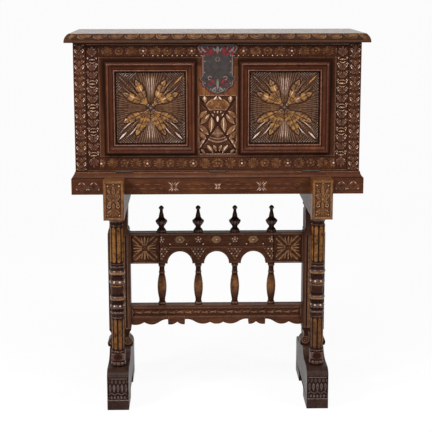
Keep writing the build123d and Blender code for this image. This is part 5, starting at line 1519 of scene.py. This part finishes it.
def makeFoot(node, spec):
    low, high = boxOf(node)
    middle, half, cut = (low + high) / 2, spec["thickness"] / 2, spec["cut"]
    outline = footOutline(spec)
    y, z = outline.T
    along = np.roll(outline, -1, 0) - np.roll(outline, 1, 0)
    outward = np.stack([along[:, 1], -along[:, 0]]) / np.hypot(*along.T)
    x = spaced(-half, half, spec["cell"], spec["arris"])[:, None]
    onToe = (np.abs(y) > spec["half"] - 8) & within(z, spec["band"] + 1.7, spec["toeTop"] - 1)
    zone = onToe & within(z, *spec["toeZone"]) & (np.abs(x) < spec["toeHalf"])
    sunk = np.where(zone, (1 - toeMotif(x, z)) * cut, 0.0)
    drop = sunk + arrisDrop(half - np.abs(x), spec["arris"])
    grid = numbered(*drop.shape)
    tone = np.where(z < spec["band"] + 1, 0.9, np.clip(1 - 0.9 * sunk / cut, 0, 1))
    # a painted highlight on the raised carving in the middle of each toe
    shine = 0.25 * zone * smooth(0.7, 1, 1 - sunk / cut) * (np.abs(x) < 24)
    piece = putMesh(f"{node}_carved",
                    rowsOf(middle[0] + x, middle[1] + y - drop * outward[0],
                           np.maximum(z - drop * outward[1], 0)),
                    gridQuads(grid, closedV=True)[..., [0, 3, 2, 1]], [list(grid[0, ::-1]), list(grid[-1])],
                    rowsOf(tone, np.clip(edgeMask(-sunk, 6) + shine, 0, 0.9), 0))
    finishPiece(piece, footWood, node)


for side in ("left", "right"):
    makeFoot(f"foot_{side}", foot)
print("stage: feet")


# The finishes of the nodes that stay as the frame gives them, each with the grain along its length.
plainFinish = {
    plainWood["z"]: ("case_side_left", "case_side_right", "case_back"),
    plainWood["x"]: ("case_bottom", "case_floor"),
    plainWood["y"]: ("top_rail_left", "top_rail_right", "loper_bar_left", "loper_bar_right"),
    galleryWood["x"]: ("gallery_shelf", "drawer_shelves", "drawer_lower_left", "drawer_lower_right",
        "drawer_upper_left", "drawer_upper_right", "gallery_linings"),
    galleryWood["z"]: ("pigeonhole_dividers", "gallery_dividers", "cupboard_door"),
    iron: ("hinge_case_leaves", "hinge_fall_leaves", "hinge_pins", "lock_case", "lock_bolt"),
    brass: ("drawer_knob_lower_left", "drawer_knob_lower_right", "drawer_knob_upper_left",
        "drawer_knob_upper_right", "cupboard_knob")}

for material, names in plainFinish.items():
    for name in names:
        kept = frame["nodes"][name]
        kept.data.materials.clear()
        kept.data.materials.append(material)
print("stage: plain boards and ironwork")


# The camera, a pale floor that sweeps up behind the cabinet, and large soft lamps; metres.
studio = {
    "cameraAt": (-0.0953, -4.3072, 1.5373), "cameraTurn": (radians(90 - 11.205), 0.0008, -0.0217),
    "lens": 98.74, "sensor": 36.0, "clip": (0.05, 60.0), "white": 0.92, "lift": 0.93, "sky": 0.22,
    "floorHalf": 30.0, "bendStart": 3.2, "bendRadius": 2.6, "wallTop": 7.0,
    "lamps": (("keyLeft", (-2.9, -2.4, 3.0), 0.85, 0.8, 0.8, 150),
        ("keyRight", (3.0, -2.2, 2.6), 0.85, 0.8, 0.8, 85), ("fillAbove", (0, -1.7, 4.0), 0.7, 0.9, 0.7, 60))}


def makeCamera(spec):
    data = bpy.data.cameras.new("studioCamera")
    data.lens, data.sensor_width = spec["lens"], spec["sensor"]
    data.clip_start, data.clip_end = spec["clip"]
    camera = bpy.data.objects.new("studioCamera", data)
    camera.location, camera.rotation_euler = spec["cameraAt"], spec["cameraTurn"]
    bpy.context.scene.collection.objects.link(camera)
    bpy.context.scene.camera = camera


# 1 where the camera sees a surface straight, in gloss or through glass.
def seenDirectly(tree):
    path = addNode(tree, "LightPath").outputs
    mirrored = addNode(tree, "Math", {0: path["Is Glossy Ray"], 1: path["Is Transmission Ray"]},
                       operation="ADD")
    return addNode(tree, "Math", {0: path["Is Camera Ray"], 1: mirrored.outputs[0]}, operation="ADD",
                   use_clamp=True).outputs[0]


# White paper: its own colour takes shadows, and what is seen of it directly is lifted to white.
def paperMaterial(spec):
    made = bpy.data.materials.new("studioPaper")
    made.use_nodes = True
    tree = made.node_tree
    tree.nodes.clear()
    diffuse = addNode(tree, "BsdfDiffuse", {"Color": (spec["white"],) * 3 + (1,)}).outputs[0]
    glow = addNode(tree, "Emission", {"Color": (1, 1, 1, 1), "Strength": 1.0}).outputs[0]
    mixed = addNode(tree, "MixShader", {0: times(tree, seenDirectly(tree), spec["lift"]), 1: diffuse,
                                        2: glow})
    addNode(tree, "OutputMaterial", {"Surface": mixed.outputs[0]})
    return made


# Floor and backdrop: a section of floor, quarter bend and wall, swept sideways.
def makeStage(spec):
    turn, radius, half = np.linspace(0, pi / 2, 24), spec["bendRadius"], spec["floorHalf"]
    y = np.concatenate([[-half], spec["bendStart"] + radius * np.sin(turn), [spec["bendStart"] + radius]])
    z = np.concatenate([[0.0], radius * (1 - np.cos(turn)), [spec["wallTop"]]])
    points = rowsOf(np.array([[-half], [half]]), y, z) * 1000
    paper = putMesh("studioPaperSweep", points, gridQuads(numbered(2, len(y))), [])
    paper.data.materials.append(paperMaterial(spec))


# A lamp that looks at a height over the middle of the floor.
def makeLamp(name, place, aimHeight, width, height, power):
    data = bpy.data.lights.new(name, "AREA")
    data.shape, data.size, data.size_y, data.energy = "RECTANGLE", width, height, power
    lamp = bpy.data.objects.new(name, data)
    lamp.location = place
    lamp.rotation_euler = (Vector((0, 0, aimHeight)) - Vector(place)).to_track_quat("-Z", "Y").to_euler()
    bpy.context.scene.collection.objects.link(lamp)


# A sky that the camera sees white and that lights the scene at a lower level.
def makeWorld(level):
    world = bpy.data.worlds.new("studioWorld")
    bpy.context.scene.world = world
    world.use_nodes = True
    background = world.node_tree.nodes["Background"].inputs
    background["Color"].default_value = (1, 1, 1, 1)
    seen = seenDirectly(world.node_tree)
    world.node_tree.links.new(timesPlus(world.node_tree, seen, 1 - level, level), background["Strength"])


makeCamera(studio)
makeStage(studio)
makeWorld(studio["sky"])
for lamp in studio["lamps"]:
    makeLamp(*lamp)
bpy.context.scene.view_settings.view_transform = "Standard"
print("stage: camera, paper and lamps")
